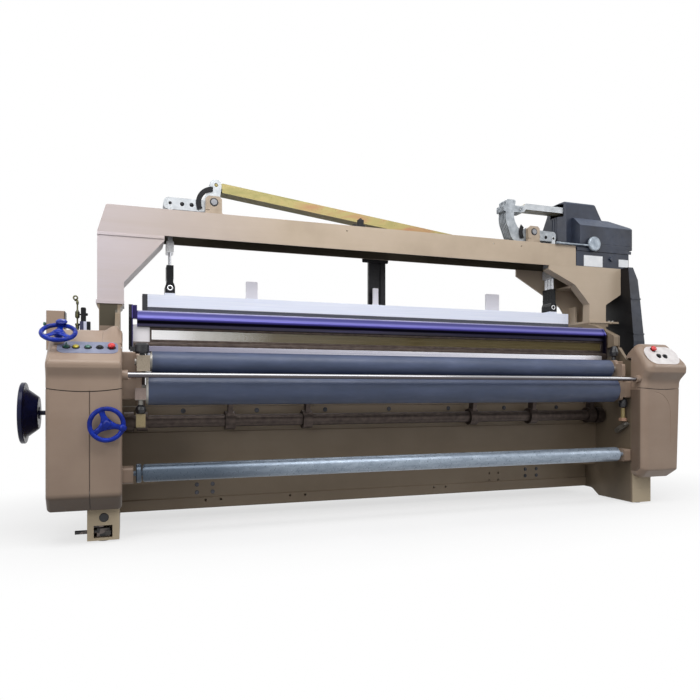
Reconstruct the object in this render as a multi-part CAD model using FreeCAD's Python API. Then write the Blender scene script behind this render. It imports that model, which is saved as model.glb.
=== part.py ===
import FreeCAD, Part
import math
import os

# Power loom with dobby shedding, millimetres, Z up, front towards -Y.
# All pieces are drawn in machine axes: X = 0 midway between the side frames,
# Y = 0 at the front faces of the feet, Z = 0 at the floor.

V = FreeCAD.Vector
os.makedirs("parts", exist_ok=True)

# ---------------------------------------------------------------- driving sizes
FIT = 0.05                    # radial running clearance of shafts in bores
SEAT = 0.3                    # clearance between bolted or nested bodies
FRAME_IN = 1820.0             # inner faces of the side frames, half the weaving bay
WEB = 30.0                    # thickness of a side frame web
FOOT_W = 170.0                # width of a foot
FOOT_Z = 10.0                 # foot sole above the floor, on the levelling feet
FOOT_DEPTH = 370.0

GANTRY_FRONT = 455.0
GANTRY_REAR = 716.0
BEAM_Z0 = 1857.0
BEAM_Z1 = 2030.0
BEAM_WALL = 8.0
BEAM_LEFT = -(FRAME_IN + 137.0)
BEAM_RIGHT = FRAME_IN - 154.0
DOBBY_Z = BEAM_Z1 + 1.0       # joint between dobby case and cover
DOBBY_RIGHT = BEAM_RIGHT + 571.0
DOBBY_Y = GANTRY_FRONT        # front and rear faces of the dobby
DOBBY_REAR = DOBBY_Y + 445.0

SHAFTS = 6                    # heald shafts
SHAFT_Y = 580.0               # plane of the first shaft
SHAFT_PITCH = 20.0
LEVER_T = 8.0                 # thickness of cranks, links and rods
LEVER_GAP = 0.4               # side clearance between linked levers
LEFT_PIVOT = (596.0 - FRAME_IN, BEAM_Z1 + 96.0)
LEFT_ARM = 284.0
LEFT_PIN = (LEFT_PIVOT[0] + 20.0, LEFT_PIVOT[1] + 132.0)
RIGHT_PIVOT = (FRAME_IN - 499.0, BEAM_Z1 + 104.0)
RIGHT_ARM = 216.0
RIGHT_LOW = 100.0
DOBBY_PIN = (RIGHT_PIVOT[0] - 99.0, RIGHT_PIVOT[1] + 185.0)
LINK_FALL = 0.1184            # slope of the link bars, down to the right
CRANK_SHAFT_R = 20.0
PIN_R = 7.0
PIN_HOLE_R = 13.0             # loose holes, so that straight moves and arcs agree
TIE_SLOT = 4.0                # extra length of the right tie holes
TIE_Z = BEAM_Z1 + 76.0
TIE_X = (LEFT_PIVOT[0] - LEFT_ARM, RIGHT_PIVOT[0] + RIGHT_ARM)

SLEY_PIVOT = (330.0, 660.0)
PRESS = (60.0, 1018.5, 64.0)          # Y, Z, radius
TAKEUP = (50.0, 861.0, 93.0)
CLOTH = (30.0, 376.0, 52.0)
WARP = (1130.0, 500.0, 380.0)         # radius of the flanges
BACK_REST = (1330.0, 1020.0, 70.0)
PLATE_X = FRAME_IN - 92.0             # outer faces of the roller bracket plates
MAIN = (150.0, 726.0)                 # main shaft
RAIL = (-75.0, 940.0)                 # front rail

BOX_IN = FRAME_IN - 15.0      # inner faces of both side covers
LEFT_W = 385.0                # width of the left side cover
RIGHT_W = 335.0               # width of the right side cover
BOX_OUT = BOX_IN + LEFT_W
RIGHT_OUT = BOX_IN + RIGHT_W
BOX_FRONT = -125.0
SKIN = 4.0                    # wall of the covers
SEAM = 0.6                    # gap of the cover seams
SEAM_LAP = 3.0                # half width of the groove along a seam
SEAM_DEEP = 2.4
DOOR_X = -(BOX_IN + 166.0)    # seam between door and fixed cover
WHEEL_REACH = 150.0           # main handwheel beyond the left side cover
LEFT_SLOPE = math.radians(33.0)

PLAN_FRONT = -214.0           # front line of the floor plan, ahead of the knob
SHIFT_X = (BOX_OUT + WHEEL_REACH - DOBBY_RIGHT) / 2
SHIFT_Y = -(PLAN_FRONT + WARP[0] + WARP[2]) / 2


# ---------------------------------------------------------------- helpers
def box(x0, x1, y0, y1, z0, z1):
    return Part.makeBox(x1 - x0, y1 - y0, z1 - z0, V(x0, y0, z0))


def cyl(axis, centre, r, a0, a1):
    """Cylinder along axis from a0 to a1; centre gives the two other coordinates."""
    if axis == "x":
        return Part.makeCylinder(r, a1 - a0, V(a0, centre[0], centre[1]), V(1, 0, 0))
    if axis == "y":
        return Part.makeCylinder(r, a1 - a0, V(centre[0], a0, centre[1]), V(0, 1, 0))
    return Part.makeCylinder(r, a1 - a0, V(centre[0], centre[1], a0), V(0, 0, 1))


def place(axis, u, v, a):
    if axis == "x":
        return V(a, u, v)
    if axis == "y":
        return V(u, a, v)
    return V(u, v, a)


def face(axis, points, a):
    """Closed face from (u, v) or (u, v, corner radius) in the plane across axis."""
    flat = [(p[0], p[1], p[2] if len(p) > 2 else 0.0) for p in points]
    n = len(flat)
    edges = []
    ends = []
    for i in range(n):
        p, q, s = flat[i - 1], flat[i], flat[(i + 1) % n]
        if q[2] <= 0:
            ends.append((q[:2], None, q[:2]))
            continue
        ax, ay = p[0] - q[0], p[1] - q[1]
        bx, by = s[0] - q[0], s[1] - q[1]
        la, lb = math.hypot(ax, ay), math.hypot(bx, by)
        ax, ay, bx, by = ax / la, ay / la, bx / lb, by / lb
        half = math.acos(max(-1.0, min(1.0, ax * bx + ay * by))) / 2
        cut = q[2] / math.tan(half)
        cx, cy = ax + bx, ay + by
        lc = math.hypot(cx, cy)
        far = q[2] / math.sin(half)
        mid = (q[0] + cx / lc * (far - q[2]), q[1] + cy / lc * (far - q[2]))
        start = (q[0] + ax * cut, q[1] + ay * cut)
        stop = (q[0] + bx * cut, q[1] + by * cut)
        ends.append((start, mid, stop))
    for i in range(n):
        start, mid, stop = ends[i]
        if mid is not None:
            arc = [place(axis, w[0], w[1], a) for w in (start, mid, stop)]
            edges.append(Part.Arc(*arc).toShape())
        nxt = ends[(i + 1) % n][0]
        p, q = place(axis, stop[0], stop[1], a), place(axis, nxt[0], nxt[1], a)
        if p.distanceToPoint(q) > 1e-4:
            edges.append(Part.makeLine(p, q))
    return Part.Face(Part.Wire(edges))


def prism(axis, points, a0, a1):
    along = place(axis, 0, 0, a1 - a0)
    return face(axis, points, a0).extrude(along)


def ring_profile(axis, centre, a0, profile):
    """Solid of revolution; profile lists (distance along axis, radius)."""
    pts = [place(axis, centre[0], centre[1] + r, a0 + d) for d, r in profile]
    wire = Part.makePolygon(pts + [pts[0]])
    base = place(axis, centre[0], centre[1], a0)
    return Part.Face(wire).revolve(base, place(axis, 0, 0, 1), 360)


def fuse(shapes):
    out = shapes[0]
    if len(shapes) > 1:
        out = out.fuse(shapes[1:])
        out = out.removeSplitter()
    return out


def cut(shape, tools):
    return shape.cut(tools)


def group(shapes):
    return Part.makeCompound(shapes)


def mirrored(shape):
    return shape.mirror(V(0, 0, 0), V(1, 0, 0))


def slot(axis, a0, a1, u0, u1, v0, v1, r):
    return prism(axis, [(u0, v0, r), (u1, v0, r), (u1, v1, r), (u0, v1, r)], a0, a1)


def hexagon(axis, centre, across, a0, a1):
    r = across / math.sqrt(3)
    pts = []
    for k in range(6):
        t = math.radians(60 * k + 30)
        pts.append((centre[0] + r * math.cos(t), centre[1] + r * math.sin(t)))
    return prism(axis, pts, a0, a1)


def save(name, shape):
    out = shape.copy()
    out.translate(V(SHIFT_X, SHIFT_Y, 0))
    out.exportStep("parts/" + name + ".step")


def shaft_plane(i):
    return SHAFT_Y + i * SHAFT_PITCH


def lie(shape, origin, slope):
    """Lays a piece drawn with +Z as normal onto a front slope through origin."""
    out = shape.copy()
    out.rotate(V(0, 0, 0), V(1, 0, 0), math.degrees(slope))
    out.translate(V(*origin))
    return out


# ---------------------------------------------------------------- side frames
def side_frame(left):
    """One cast side frame, drawn for the right-hand side of the machine."""
    web = prism("x", [
        (0, FOOT_Z), (0, 1075, 40), (75, 1092, 20), (150, 1185, 20), (GANTRY_FRONT, 1340, 60),
        (GANTRY_FRONT, 1400), (GANTRY_REAR + 30, 1400, 60), (930, 1150, 120),
        (1330, 1110, 60), (1400, 1080, 40), (1400, 960, 60), (1270, 900, 80),
        (1250, 260, 120), (1350, 150, 20), (1350, FOOT_Z), (1010, FOOT_Z),
        (950, 62, 60), (450, 62, 60), (FOOT_DEPTH, FOOT_Z)],
        FRAME_IN, FRAME_IN + WEB)
    foot = prism("x", [
        (0, FOOT_Z), (0, 236, 10), (400, 236, 10), (440, 70, 30), (FOOT_DEPTH, FOOT_Z)],
        FRAME_IN, FRAME_IN + FOOT_W)
    heel = prism("x", [
        (1010, FOOT_Z), (1060, 210, 30), (1300, 210, 30), (1350, FOOT_Z)],
        FRAME_IN, FRAME_IN + FOOT_W)
    gear_box = prism("x", [
        (40, 430, 25), (100, 430, 25), (100, 900, 25), (40, 900, 25)],
        FRAME_IN, FRAME_IN + 250)
    if left:
        gear_box = prism("x", [
            (40, 430, 25), (300, 430, 25), (300, 900, 25), (40, 900, 25)],
            FRAME_IN, FRAME_IN + 280)
    parts = [web, foot, heel, gear_box]
    if not left:
        parts.append(box(FRAME_IN, FRAME_IN + FOOT_W - 20, GANTRY_FRONT, GANTRY_REAR, 1300, 1400))
        arm = prism("x", [
            (145, 1196, 8), (145, 1277, 12), (354, 1374, 200), (GANTRY_FRONT, 1400),
            (GANTRY_FRONT + 60, 1400), (GANTRY_FRONT + 60, 1250, 60), (300, 1180, 80)],
            FRAME_IN - 46, FRAME_IN + 9)
        parts.append(arm)
    body = fuse(parts)
    holes = [
        slot("x", FRAME_IN - 60, FRAME_IN + WEB + 1, 560, 860, 700, 1060, 90),
        slot("x", FRAME_IN - 60, FRAME_IN + WEB + 1, 620, 820, 330, 560, 60),
        cyl("x", SLEY_PIVOT, 40 + FIT, FRAME_IN - 60, FRAME_IN + WEB + 1),
        cyl("x", TAKEUP[:2], 25 + FIT, FRAME_IN - 60, FRAME_IN + 60),
        cyl("x", WARP[:2], 34 + FIT, FRAME_IN - 60, FRAME_IN + WEB + 1),
        cyl("x", BACK_REST[:2], 22 + FIT, FRAME_IN - 60, FRAME_IN + WEB + 1),
    ]
    body = cut(body, holes)
    if left:
        # The left foot holds a valve: a pocket, a round port and a passage for the rod.
        pocket = box(FRAME_IN + 37, FRAME_IN + 136, -1, 130, 25, 94)
        port = cyl("y", (FRAME_IN + 82, 138), 26, -1, 60)
        passage = cyl("x", (30, 57), 11.5, FRAME_IN + 120, FRAME_IN + 180)
        main_bore = cyl("x", MAIN, 13 + FIT, FRAME_IN + 60, FRAME_IN + 300)
        feed_bore = cyl("y", (FRAME_IN + 64, 669), 11 + FIT, 30, 90)
        body = cut(body, [pocket, port, passage, main_bore, feed_bore])
        post = -BEAM_LEFT
        stool = prism("y", [
            (post - 127, 1182), (post - 11, 1218, 20), (post - 11, 1370, 20), (post, 1392),
            (post, 1401.7), (post - 150, 1401.7), (post - 150, 1392), (post - 127, 1370, 20)],
            GANTRY_FRONT, GANTRY_REAR)
        body = fuse([body, stool])
        return mirrored(body)
    pad = box(FRAME_IN - 24, FRAME_IN + FOOT_W, GANTRY_FRONT, GANTRY_REAR, 1385, 1409.7)
    return fuse([body, pad])


def cross_girders():
    """Front and rear girder: the same pressed channel with a stepped face."""
    end = FRAME_IN - SEAT
    channel = prism("x", [
        (520, 65, 10), (590, 65), (590, 77), (534, 77, 4), (534, 258, 4), (590, 258),
        (590, 270), (528, 270, 10), (528, 143), (520, 135)],
        -end, end)
    bores = []
    for x in (-1280, -1180, -700, -590, 420, 520):
        bores.append(cyl("y", (x, 118), 9, 510, 540))
    for x in (905, 985):
        for z in (150, 205):
            bores.append(cyl("y", (x, z), 9, 510, 540))
    front = cut(channel, bores)
    rear = channel.mirror(V(0, 655, 0), V(0, 1, 0))
    return group([front, rear])


def middle_girder():
    """Deep pressed girder behind the front rollers, with a row of holes near its top."""
    end = FRAME_IN - SEAT
    body = prism("x", [
        (400, 385, 8), (450, 385), (450, 393), (412, 393, 4), (412, 570), (416, 582), (416, 742, 4),
        (545, 742), (545, 724), (555, 724), (555, 754, 6), (404, 754, 10), (404, 590), (400, 584)],
        -end, end)
    pitch = 2 * FRAME_IN / 7.6
    return cut(body, [cyl("y", (k * pitch, 722), 9, 395, 425) for k in range(-3, 4)])


# ---------------------------------------------------------------- gantry
def top_beam():
    outer = prism("y", [
        (BEAM_LEFT, BEAM_Z0), (BEAM_LEFT + 51, BEAM_Z1 - 5, 8), (BEAM_LEFT + 62, BEAM_Z1),
        (BEAM_RIGHT, BEAM_Z1), (BEAM_RIGHT, BEAM_Z0)], GANTRY_FRONT, GANTRY_REAR)
    inner = prism("y", [
        (BEAM_LEFT + 10, BEAM_Z0 - 10), (BEAM_LEFT + 63, BEAM_Z1 - BEAM_WALL),
        (BEAM_RIGHT - BEAM_WALL, BEAM_Z1 - BEAM_WALL), (BEAM_RIGHT - BEAM_WALL, BEAM_Z0 - 10)],
        GANTRY_FRONT + BEAM_WALL, GANTRY_REAR - BEAM_WALL)
    y0, y1 = SHAFT_Y - 13, shaft_plane(SHAFTS - 1) + 15
    left_slot = slot("z", BEAM_Z1 - 20, BEAM_Z1 + 5, TIE_X[0] - 84, LEFT_PIVOT[0] - 76, y0, y1, 10)
    right_slot = slot("z", BEAM_Z1 - 20, BEAM_Z1 + 5, 150, BEAM_RIGHT - 60, y0, y1, 10)
    plugs = [cyl("y", (x, 1990), 5, GANTRY_FRONT - 5, GANTRY_FRONT + 12)
             for x in (-300, 900, 1150)]
    return cut(outer, [inner, left_slot, right_slot] + plugs)


def left_post():
    x0, x1, x2 = BEAM_LEFT, BEAM_LEFT + 158, BEAM_LEFT + 407
    top = BEAM_Z0 - SEAT
    outline = [
        (x0, 1420), (x0, top), (x2, top), (x2, BEAM_Z0 - 31, 5), (x1, 1542, 12), (x1, 1420)]
    inner = [
        (x0 + 8, 1410), (x0 + 8, 1870), (x2 - 8, 1870), (x2 - 8, BEAM_Z0 - 28, 5),
        (x1 - 8, 1545, 12), (x1 - 8, 1410)]
    shell = cut(prism("y", outline, GANTRY_FRONT, GANTRY_REAR),
                [prism("y", inner, GANTRY_FRONT + 8, GANTRY_REAR - 8)])
    flange = box(x0 - 7, x1 + 2, GANTRY_FRONT - 6, GANTRY_REAR + 6, 1402, 1424)
    lip = box(x0, x2, GANTRY_FRONT - 5, GANTRY_FRONT, BEAM_Z0 - 23, BEAM_Z0 - 10)
    return fuse([shell, flange, lip])


def right_bracket():
    top = BEAM_Z0 - SEAT
    toe, heel, out = FRAME_IN - 22, FRAME_IN + 146, FRAME_IN + 298
    leg = [(heel, 1425), (heel, 1562, 15), (out, 1654, 15), (out, top)]
    front_tip, rear_tip = RIGHT_PIVOT[0] + 86, RIGHT_PIVOT[0] - 53
    edge = [(front_tip, BEAM_Z0 - 33, 6), (toe - 140, 1715, 20), (toe + 4, 1563, 20), (toe, 1425)]
    front = prism("y", [(front_tip, top)] + edge + leg, GANTRY_FRONT, GANTRY_FRONT + 14)
    rear = prism("y", [
        (rear_tip, top), (rear_tip, BEAM_Z0 - 57, 6), (toe - 238, 1640, 20), (toe - 98, 1560, 20),
        (toe - 2, 1425)] + leg, GANTRY_REAR - 14, GANTRY_REAR)
    rim = prism("y", [
        (front_tip, BEAM_Z0 - 19, 4), (front_tip, BEAM_Z0 - 33, 4)] + edge[1:] + [
        (toe + 14, 1425), (toe + 18, 1568, 20), (toe - 130, 1727, 20)],
        GANTRY_FRONT, GANTRY_FRONT + 80)
    right_wall = prism("y", [(heel - 14, 1425)] + leg + [
        (out - 14, top), (out - 14, 1662, 8), (heel - 14, 1570, 8)], GANTRY_FRONT, GANTRY_REAR)
    brace = box(toe - 143, heel - 6, GANTRY_FRONT + 60, GANTRY_REAR, 1700, 1714)
    rear_leg = box(toe - 2, toe + 14, GANTRY_REAR - 90, GANTRY_REAR, 1425, 1560)
    base = box(toe - 2, heel + 125, GANTRY_FRONT - 6, GANTRY_REAR, 1410, 1425)
    cap = box(BEAM_RIGHT + SEAT, out, GANTRY_FRONT, GANTRY_REAR, BEAM_Z0 - 14, BEAM_Z0 + 12.7)
    body = fuse([front, rear, rim, right_wall, brace, rear_leg, base, cap])
    return cut(body, [box(front_tip - 10, BEAM_RIGHT + SEAT, 400, 800, top, BEAM_Z0 + 23)])


# ---------------------------------------------------------------- covers
def arc_region(x0, x1, z_end, z_mid, above):
    """Block above or below the curved seam between hood and lower cover."""
    xm = (x0 + x1) / 2
    y0, y1 = -400, 600
    arc = Part.Arc(V(x0, y0, z_end), V(xm, y0, z_mid), V(x1, y0, z_end)).toShape()
    z = 1500 if above else 0
    side = [Part.makeLine(V(x1, y0, z_end), V(x1, y0, z)), Part.makeLine(V(x1, y0, z), V(x0, y0, z)),
            Part.makeLine(V(x0, y0, z), V(x0, y0, z_end))]
    return Part.Face(Part.Wire([arc] + side)).extrude(V(0, y1 - y0, 0))


def round_ends(solid, radii, rear):
    """Rounds the front edges of the end faces; radii gives (x, radius) pairs."""
    out = solid
    for x, r in radii:
        edges = []
        for e in out.Edges:
            b = e.BoundBox
            if abs(b.XMin - x) < 1e-3 and abs(b.XMax - x) < 1e-3 and b.YMax < rear:
                edges.append(e)
        out = out.makeFillet(r, edges)
    return out


def left_profile(t):
    return [
        (330 - t, 192 + t), (-60 + t / 2, 192 + t, 15), (BOX_FRONT + t, 272 + t / 2, 30),
        (BOX_FRONT + t, 925, 60), (-149 + t, 975 + t, 18), (-151 + t, 1010 - t / 2, 36 - t),
        (157 - t / 2, 1205 - t, 30), (250 - t, 1205 - t, 30), (330 - t, 1120, 40)]


def right_profile(t):
    return [
        (130 - t, 205 + t), (-60 + t / 2, 205 + t, 15), (BOX_FRONT + t, 265 + t / 2, 25),
        (BOX_FRONT + t, 925, 60), (-182 + t, 985 + t, 20), (-186 + t, 1031 - t / 2, 40 - t),
        (-38, 1221 - t, 45), (66 - t, 1142, 60), (130 - t, 1050, 60)]


def left_box():
    """Hood, fixed cover and door share one skin, parted along the seams."""
    outer, inner, groove_floor = [
        round_ends(prism("x", left_profile(t), -BOX_OUT + t, -BOX_IN - t),
                   ((-BOX_OUT + t, 24 - t), (-BOX_IN - t, 24 - t)), 260)
        for t in (0, SKIN, SEAM_DEEP)]
    skin = outer.cut(inner)
    # Side opening towards the machine, for the frame, the rollers and the arm.
    web_x = -FRAME_IN - WEB - 8
    openings = [
        box(web_x, -BOX_IN + 1, 0, 340, 150, 1100),
        box(web_x, -BOX_IN + 1, 62, 340, 1099, 1182),
        box(web_x, -BOX_IN + 1, 150, 340, 1181, 1300),
        box(-FRAME_IN - FOOT_W - 5, -FRAME_IN + 6, -5, 400, 150, 242),
        cyl("x", MAIN, 13 + FIT, -BOX_OUT - 5, -BOX_OUT + 12),
        cyl("y", (FEED_X, 669), 11 + FIT, BOX_FRONT - 5, BOX_FRONT + 12),
    ]
    skin = skin.cut(openings)
    x0, x1 = -BOX_OUT - 30, -BOX_IN + 30
    groove = arc_region(x0, x1, 870 + SEAM_LAP, 847 + SEAM_LAP, False)
    groove = groove.cut(arc_region(x0, x1, 870 - SEAM_LAP, 847 - SEAM_LAP, False))
    groove = groove.fuse(box(DOOR_X - SEAM_LAP, DOOR_X + SEAM_LAP, -200, -20, 100, 855))
    skin = skin.cut(groove.cut(groove_floor))
    hood = skin.common(arc_region(x0, x1, 870, 847, True))
    low = skin.common(arc_region(x0, x1, 870 - SEAM, 847 - SEAM, False))
    door_zone = box(-BOX_OUT - 40, DOOR_X - SEAM / 2, -200, -20, 100, 1000)
    keep_zone = box(-BOX_OUT - 40, DOOR_X + SEAM / 2, -200, -20 + SEAM, 100, 1000)
    door = low.common(door_zone)
    cover = low.cut(keep_zone)
    # Recess and holes of the control panel, and the rail boss.
    recess = lie(slot("z", -2, 40, PANEL_X[0], PANEL_X[1], -64, 64, 40), slope_point(0, -25), LEFT_SLOPE)
    hood = hood.cut([recess])
    holes = [lie(cyl("z", (0, 0), 12 + FIT, -30, 30), slope_point(x, -25), LEFT_SLOPE)
             for x in BUTTON_X]
    collar = lie(ring_profile("z", (0, 0), -3, [(0, 0), (0, 26), (9, 26), (17, 20), (17, 0)]),
                 slope_point(TOP_WHEEL_X, 18), LEFT_SLOPE)
    holes.append(lie(cyl("z", (0, 0), 9 + FIT, -30, 30), slope_point(TOP_WHEEL_X, 18), LEFT_SLOPE))
    hood = fuse([hood, collar]).cut(holes)
    boss = cyl("x", RAIL, 27, -BOX_IN - 2, -BOX_IN + 30)
    hood = fuse([hood, boss]).cut(cyl("x", RAIL, 15 + FIT, -BOX_IN, -BOX_IN + 31))
    return hood, cover, door


def slope_point(x, y):
    return (x, y, 1010 + (y + 151) * math.tan(LEFT_SLOPE))


FEED_X = -(FRAME_IN + 64)
TOP_WHEEL_X = -(BOX_OUT - 55)
PANEL_X = (-(BOX_OUT - 49), -(BOX_IN + 21))
KEY_PITCH = (LEFT_W - 200) / 3
BUTTON_X = [-(BOX_IN + 56) - k * KEY_PITCH for k in (3, 2, 1, 0)]
BUTTON_X = [BUTTON_X[0] - 48] + BUTTON_X
RIGHT_SLOPE = math.atan2(190, 148)
RIGHT_BUTTONS = ((BOX_IN + 120, -87, 14), (BOX_IN + 139, -125, 11), (BOX_IN + 196, -127, 11))


def right_slope_point(x, y):
    return (x, y, 1031 + (y + 186) * math.tan(RIGHT_SLOPE))


def right_hull(t):
    """Outline of the right side box, drawn t inside its outer faces."""
    long = prism("x", right_profile(t), BOX_IN + t, RIGHT_OUT + 25)
    across = prism("y", [
        (BOX_IN + t, 190 - 2 * t), (RIGHT_OUT - 68 - t / 2, 190 - 2 * t),
        (RIGHT_OUT - 24 - t, 262 + t / 2, 10), (RIGHT_OUT - t, 925, 40),
        (RIGHT_OUT + 6 - t, 985, 15), (RIGHT_OUT + 6 - t, 1060 - t / 2, 40),
        (RIGHT_OUT - 74 - t / 2, 1240 - t, 60), (BOX_IN + t, 1240 - t)], -260, 140)
    return round_ends(long.common(across), ((BOX_IN + t, 55 - t),), -50)


def right_box():
    outer, inner, groove_floor = [right_hull(t) for t in (0, SKIN, SEAM_DEEP)]
    skin = outer.cut(inner)
    web_x = FRAME_IN + WEB + 8
    openings = [
        box(BOX_IN - 1, web_x, 0, 140, 150, 1100),
        box(BOX_IN - 1, web_x, 62, 140, 1099, 1300),
        box(FRAME_IN - 6, FRAME_IN + FOOT_W + 5, -5, 400, 150, 242),
    ]
    skin = skin.cut(openings)
    x0, x1 = BOX_IN - 30, RIGHT_OUT + 60
    groove = arc_region(x0, x1, 878 + SEAM_LAP, 862 + SEAM_LAP, False)
    groove = groove.cut(arc_region(x0, x1, 878 - SEAM_LAP, 862 - SEAM_LAP, False))
    skin = skin.cut(groove.cut(groove_floor))
    hood = skin.common(arc_region(x0, x1, 878, 862, True))
    cover = skin.common(arc_region(x0, x1, 878 - SEAM, 862 - SEAM, False))
    origin = right_slope_point(BOX_IN + 173, -121)
    recess = lie(slot("z", -1.5, 60, -150, 150, -84, 84, 75), origin, RIGHT_SLOPE)
    hood = hood.cut([recess])
    holes = [lie(cyl("z", (0, 0), r + FIT, -40, 40), right_slope_point(x, y), RIGHT_SLOPE)
             for x, y, r in RIGHT_BUTTONS]
    hood = hood.cut(holes)
    boss = cyl("x", RAIL, 27, BOX_IN - 30, BOX_IN + 2)
    hood = fuse([hood, boss]).cut(cyl("x", RAIL, 15 + FIT, BOX_IN - 31, BOX_IN))
    # Pressed line that bends round the upper part of the cover front.
    bend = BOX_IN + 100
    line = Part.makeTorus(150, 3.5, V(bend, BOX_FRONT - 1, 690), V(0, 1, 0))
    quarter = box(bend, bend + 195, BOX_FRONT - 10, BOX_FRONT + 5, 690, 900)
    drop = cyl("z", (bend + 150, BOX_FRONT - 1), 3.5, 470, 690)
    cover = cover.cut([line.common(quarter), drop])
    return hood, cover


def left_panel():
    holes = [lie(cyl("z", (0, 0), 12 + FIT, -30, 30), slope_point(x, -25), LEFT_SLOPE)
             for x in BUTTON_X]
    holes.append(lie(cyl("z", (0, 0), 26 + SEAT, -30, 30), slope_point(TOP_WHEEL_X, 18), LEFT_SLOPE))
    plate = slot("z", -2, 0.6, PANEL_X[0] + SEAT, PANEL_X[1] - SEAT, -64 + SEAT, 64 - SEAT, 40 - SEAT)
    return lie(plate, slope_point(0, -25), LEFT_SLOPE).cut(holes)


def right_panel():
    holes = [lie(cyl("z", (0, 0), r + FIT, -40, 40), right_slope_point(x, y), RIGHT_SLOPE)
             for x, y, r in RIGHT_BUTTONS]
    plate = slot("z", -1.5, 0.6, -150 + SEAT, 150 - SEAT, -84 + SEAT, 84 - SEAT, 75 - SEAT)
    return lie(plate, right_slope_point(BOX_IN + 173, -121), RIGHT_SLOPE).cut(holes)


# ---------------------------------------------------------------- controls
def button(stem_r, cap_r, cap_h, dome):
    low = 5.0
    profile = [(-16, 0), (-16, stem_r), (low, stem_r), (low, cap_r), (low + cap_h, cap_r),
               (low + cap_h + dome, cap_r * 0.7), (low + cap_h + dome, 0)]
    return ring_profile("z", (0, 0), 0, profile)


def mushroom(stem_r, cap_r):
    profile = [(-16, 0), (-16, stem_r), (9, stem_r), (9, cap_r - 5), (14, cap_r), (19, cap_r),
               (25, cap_r * 0.72), (27, cap_r * 0.3), (27, 0)]
    return ring_profile("z", (0, 0), 0, profile)


def selector():
    body = ring_profile("z", (0, 0), 0, [(-16, 0), (-16, 12), (3, 12), (3, 15), (9, 14), (9, 0)])
    grip = prism("z", [(-4, -13, 3), (4, -13, 3), (4, 13, 3), (-4, 13, 3)], 8, 22)
    return fuse([body, grip])


def handwheel(radius, rim_r, angles, knob_at, knob_len, stem, stem_r):
    """Spoked wheel about Z; the hub face lies at z = 0, the stem runs to -Z."""
    rim = Part.makeTorus(radius - rim_r, rim_r)
    hub = ring_profile("z", (0, 0), 0, [
        (-stem, 0), (-stem, stem_r), (-26, stem_r), (-26, 20), (-4, 24), (10, 22), (14, 17), (14, 0)])
    parts = [rim, hub]
    for a in angles:
        spoke = prism("z", [(12, -13), (radius - rim_r, -8), (radius - rim_r, 8), (12, 13)], -4.5, 4.5)
        spoke.rotate(V(0, 0, 0), V(0, 0, 1), a)
        parts.append(spoke)
    lug = ring_profile("z", (radius - rim_r, 0), -6, [(0, 0), (0, 17), (14, 14), (14, 8), (20, 8),
                       (24, 15), (20 + knob_len - 6, 18), (20 + knob_len, 13), (20 + knob_len, 0)])
    lug.rotate(V(0, 0, 0), V(0, 0, 1), knob_at)
    parts.append(lug)
    return fuse(parts)


def main_handwheel():
    y, z = MAIN
    reach = BOX_OUT + WHEEL_REACH - FRAME_IN - 120
    profile = [
        (0, 146), (0, 168), (4, 172), (21, 172), (25, 168), (25, 146), (30, 138), (84, 97),
        (92, 90), (92, 36), (97, 34), (97, 13), (reach, 13), (reach, 0), (60, 0), (60, 30),
        (80, 34), (80, 86), (76, 92), (22, 131), (10, 138)]
    return ring_profile("x", (y, z), -BOX_OUT - WHEEL_REACH, profile)


def top_handwheel():
    wheel = handwheel(100, 9, (90, 215, 325), 90, 10, 84, 9)
    wheel.translate(V(0, 0, 62))
    return lie(wheel, slope_point(TOP_WHEEL_X, 18), LEFT_SLOPE)


def front_handwheel():
    wheel = handwheel(95, 9.5, (110, -13, 217), -13, 20, 245, 11)
    wheel.rotate(V(0, 0, 0), V(1, 0, 0), 90)
    wheel.translate(V(FEED_X, BOX_FRONT - 40, 669))
    return wheel


def front_rail():
    return cyl("x", RAIL, 15, -BOX_IN + 0.5, BOX_IN - 0.5)


# ---------------------------------------------------------------- rollers
def roller(spec, body, steps):
    """Turned roller: half length of the body, then (radius, half length) of each neck."""
    y, z, r = spec
    half = [(-body, r)]
    inner = body
    for neck_r, end in steps:
        half += [(-inner, neck_r), (-end, neck_r)]
        inner = end
    half = [(-inner, 0)] + half[::-1]
    other = [(-d, radius) for d, radius in reversed(half)]
    return ring_profile("x", (y, z), 0, half + other)


def press_roller():
    return roller(PRESS, FRAME_IN - 175, [(54, FRAME_IN - 168), (20, FRAME_IN - 82)])


def takeup_roller():
    return roller(TAKEUP, FRAME_IN - 153, [(86, FRAME_IN - 145), (25, FRAME_IN + 48)])


def cloth_roller():
    body = roller(CLOTH, FRAME_IN - 133, [(46, FRAME_IN - 126), (15, FRAME_IN - 20)])
    flange = ring_profile("x", CLOTH[:2], 89 - FRAME_IN, [
        (0, 15), (0, 50), (5, 55), (25, 55), (30, 50), (30, 15)])
    return fuse([body, flange])


def back_rest_roller():
    return roller(BACK_REST, FRAME_IN - 120, [(60, FRAME_IN - 114), (22, FRAME_IN + 28)])


def warp_beam():
    y, z, r = WARP
    half = [
        (0, 0), (0, 34), (95, 34), (95, 110), (120, 110), (120, 150), (128, 168), (128, 372), (120, 380),
        (144, 380), (144, 372), (136, 365), (136, 168), (140, 84)]
    base = -(FRAME_IN + 28)
    mirror = [(-2 * base - d, rr) for d, rr in reversed(half)]
    return ring_profile("x", (y, z), base, half + mirror)


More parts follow.
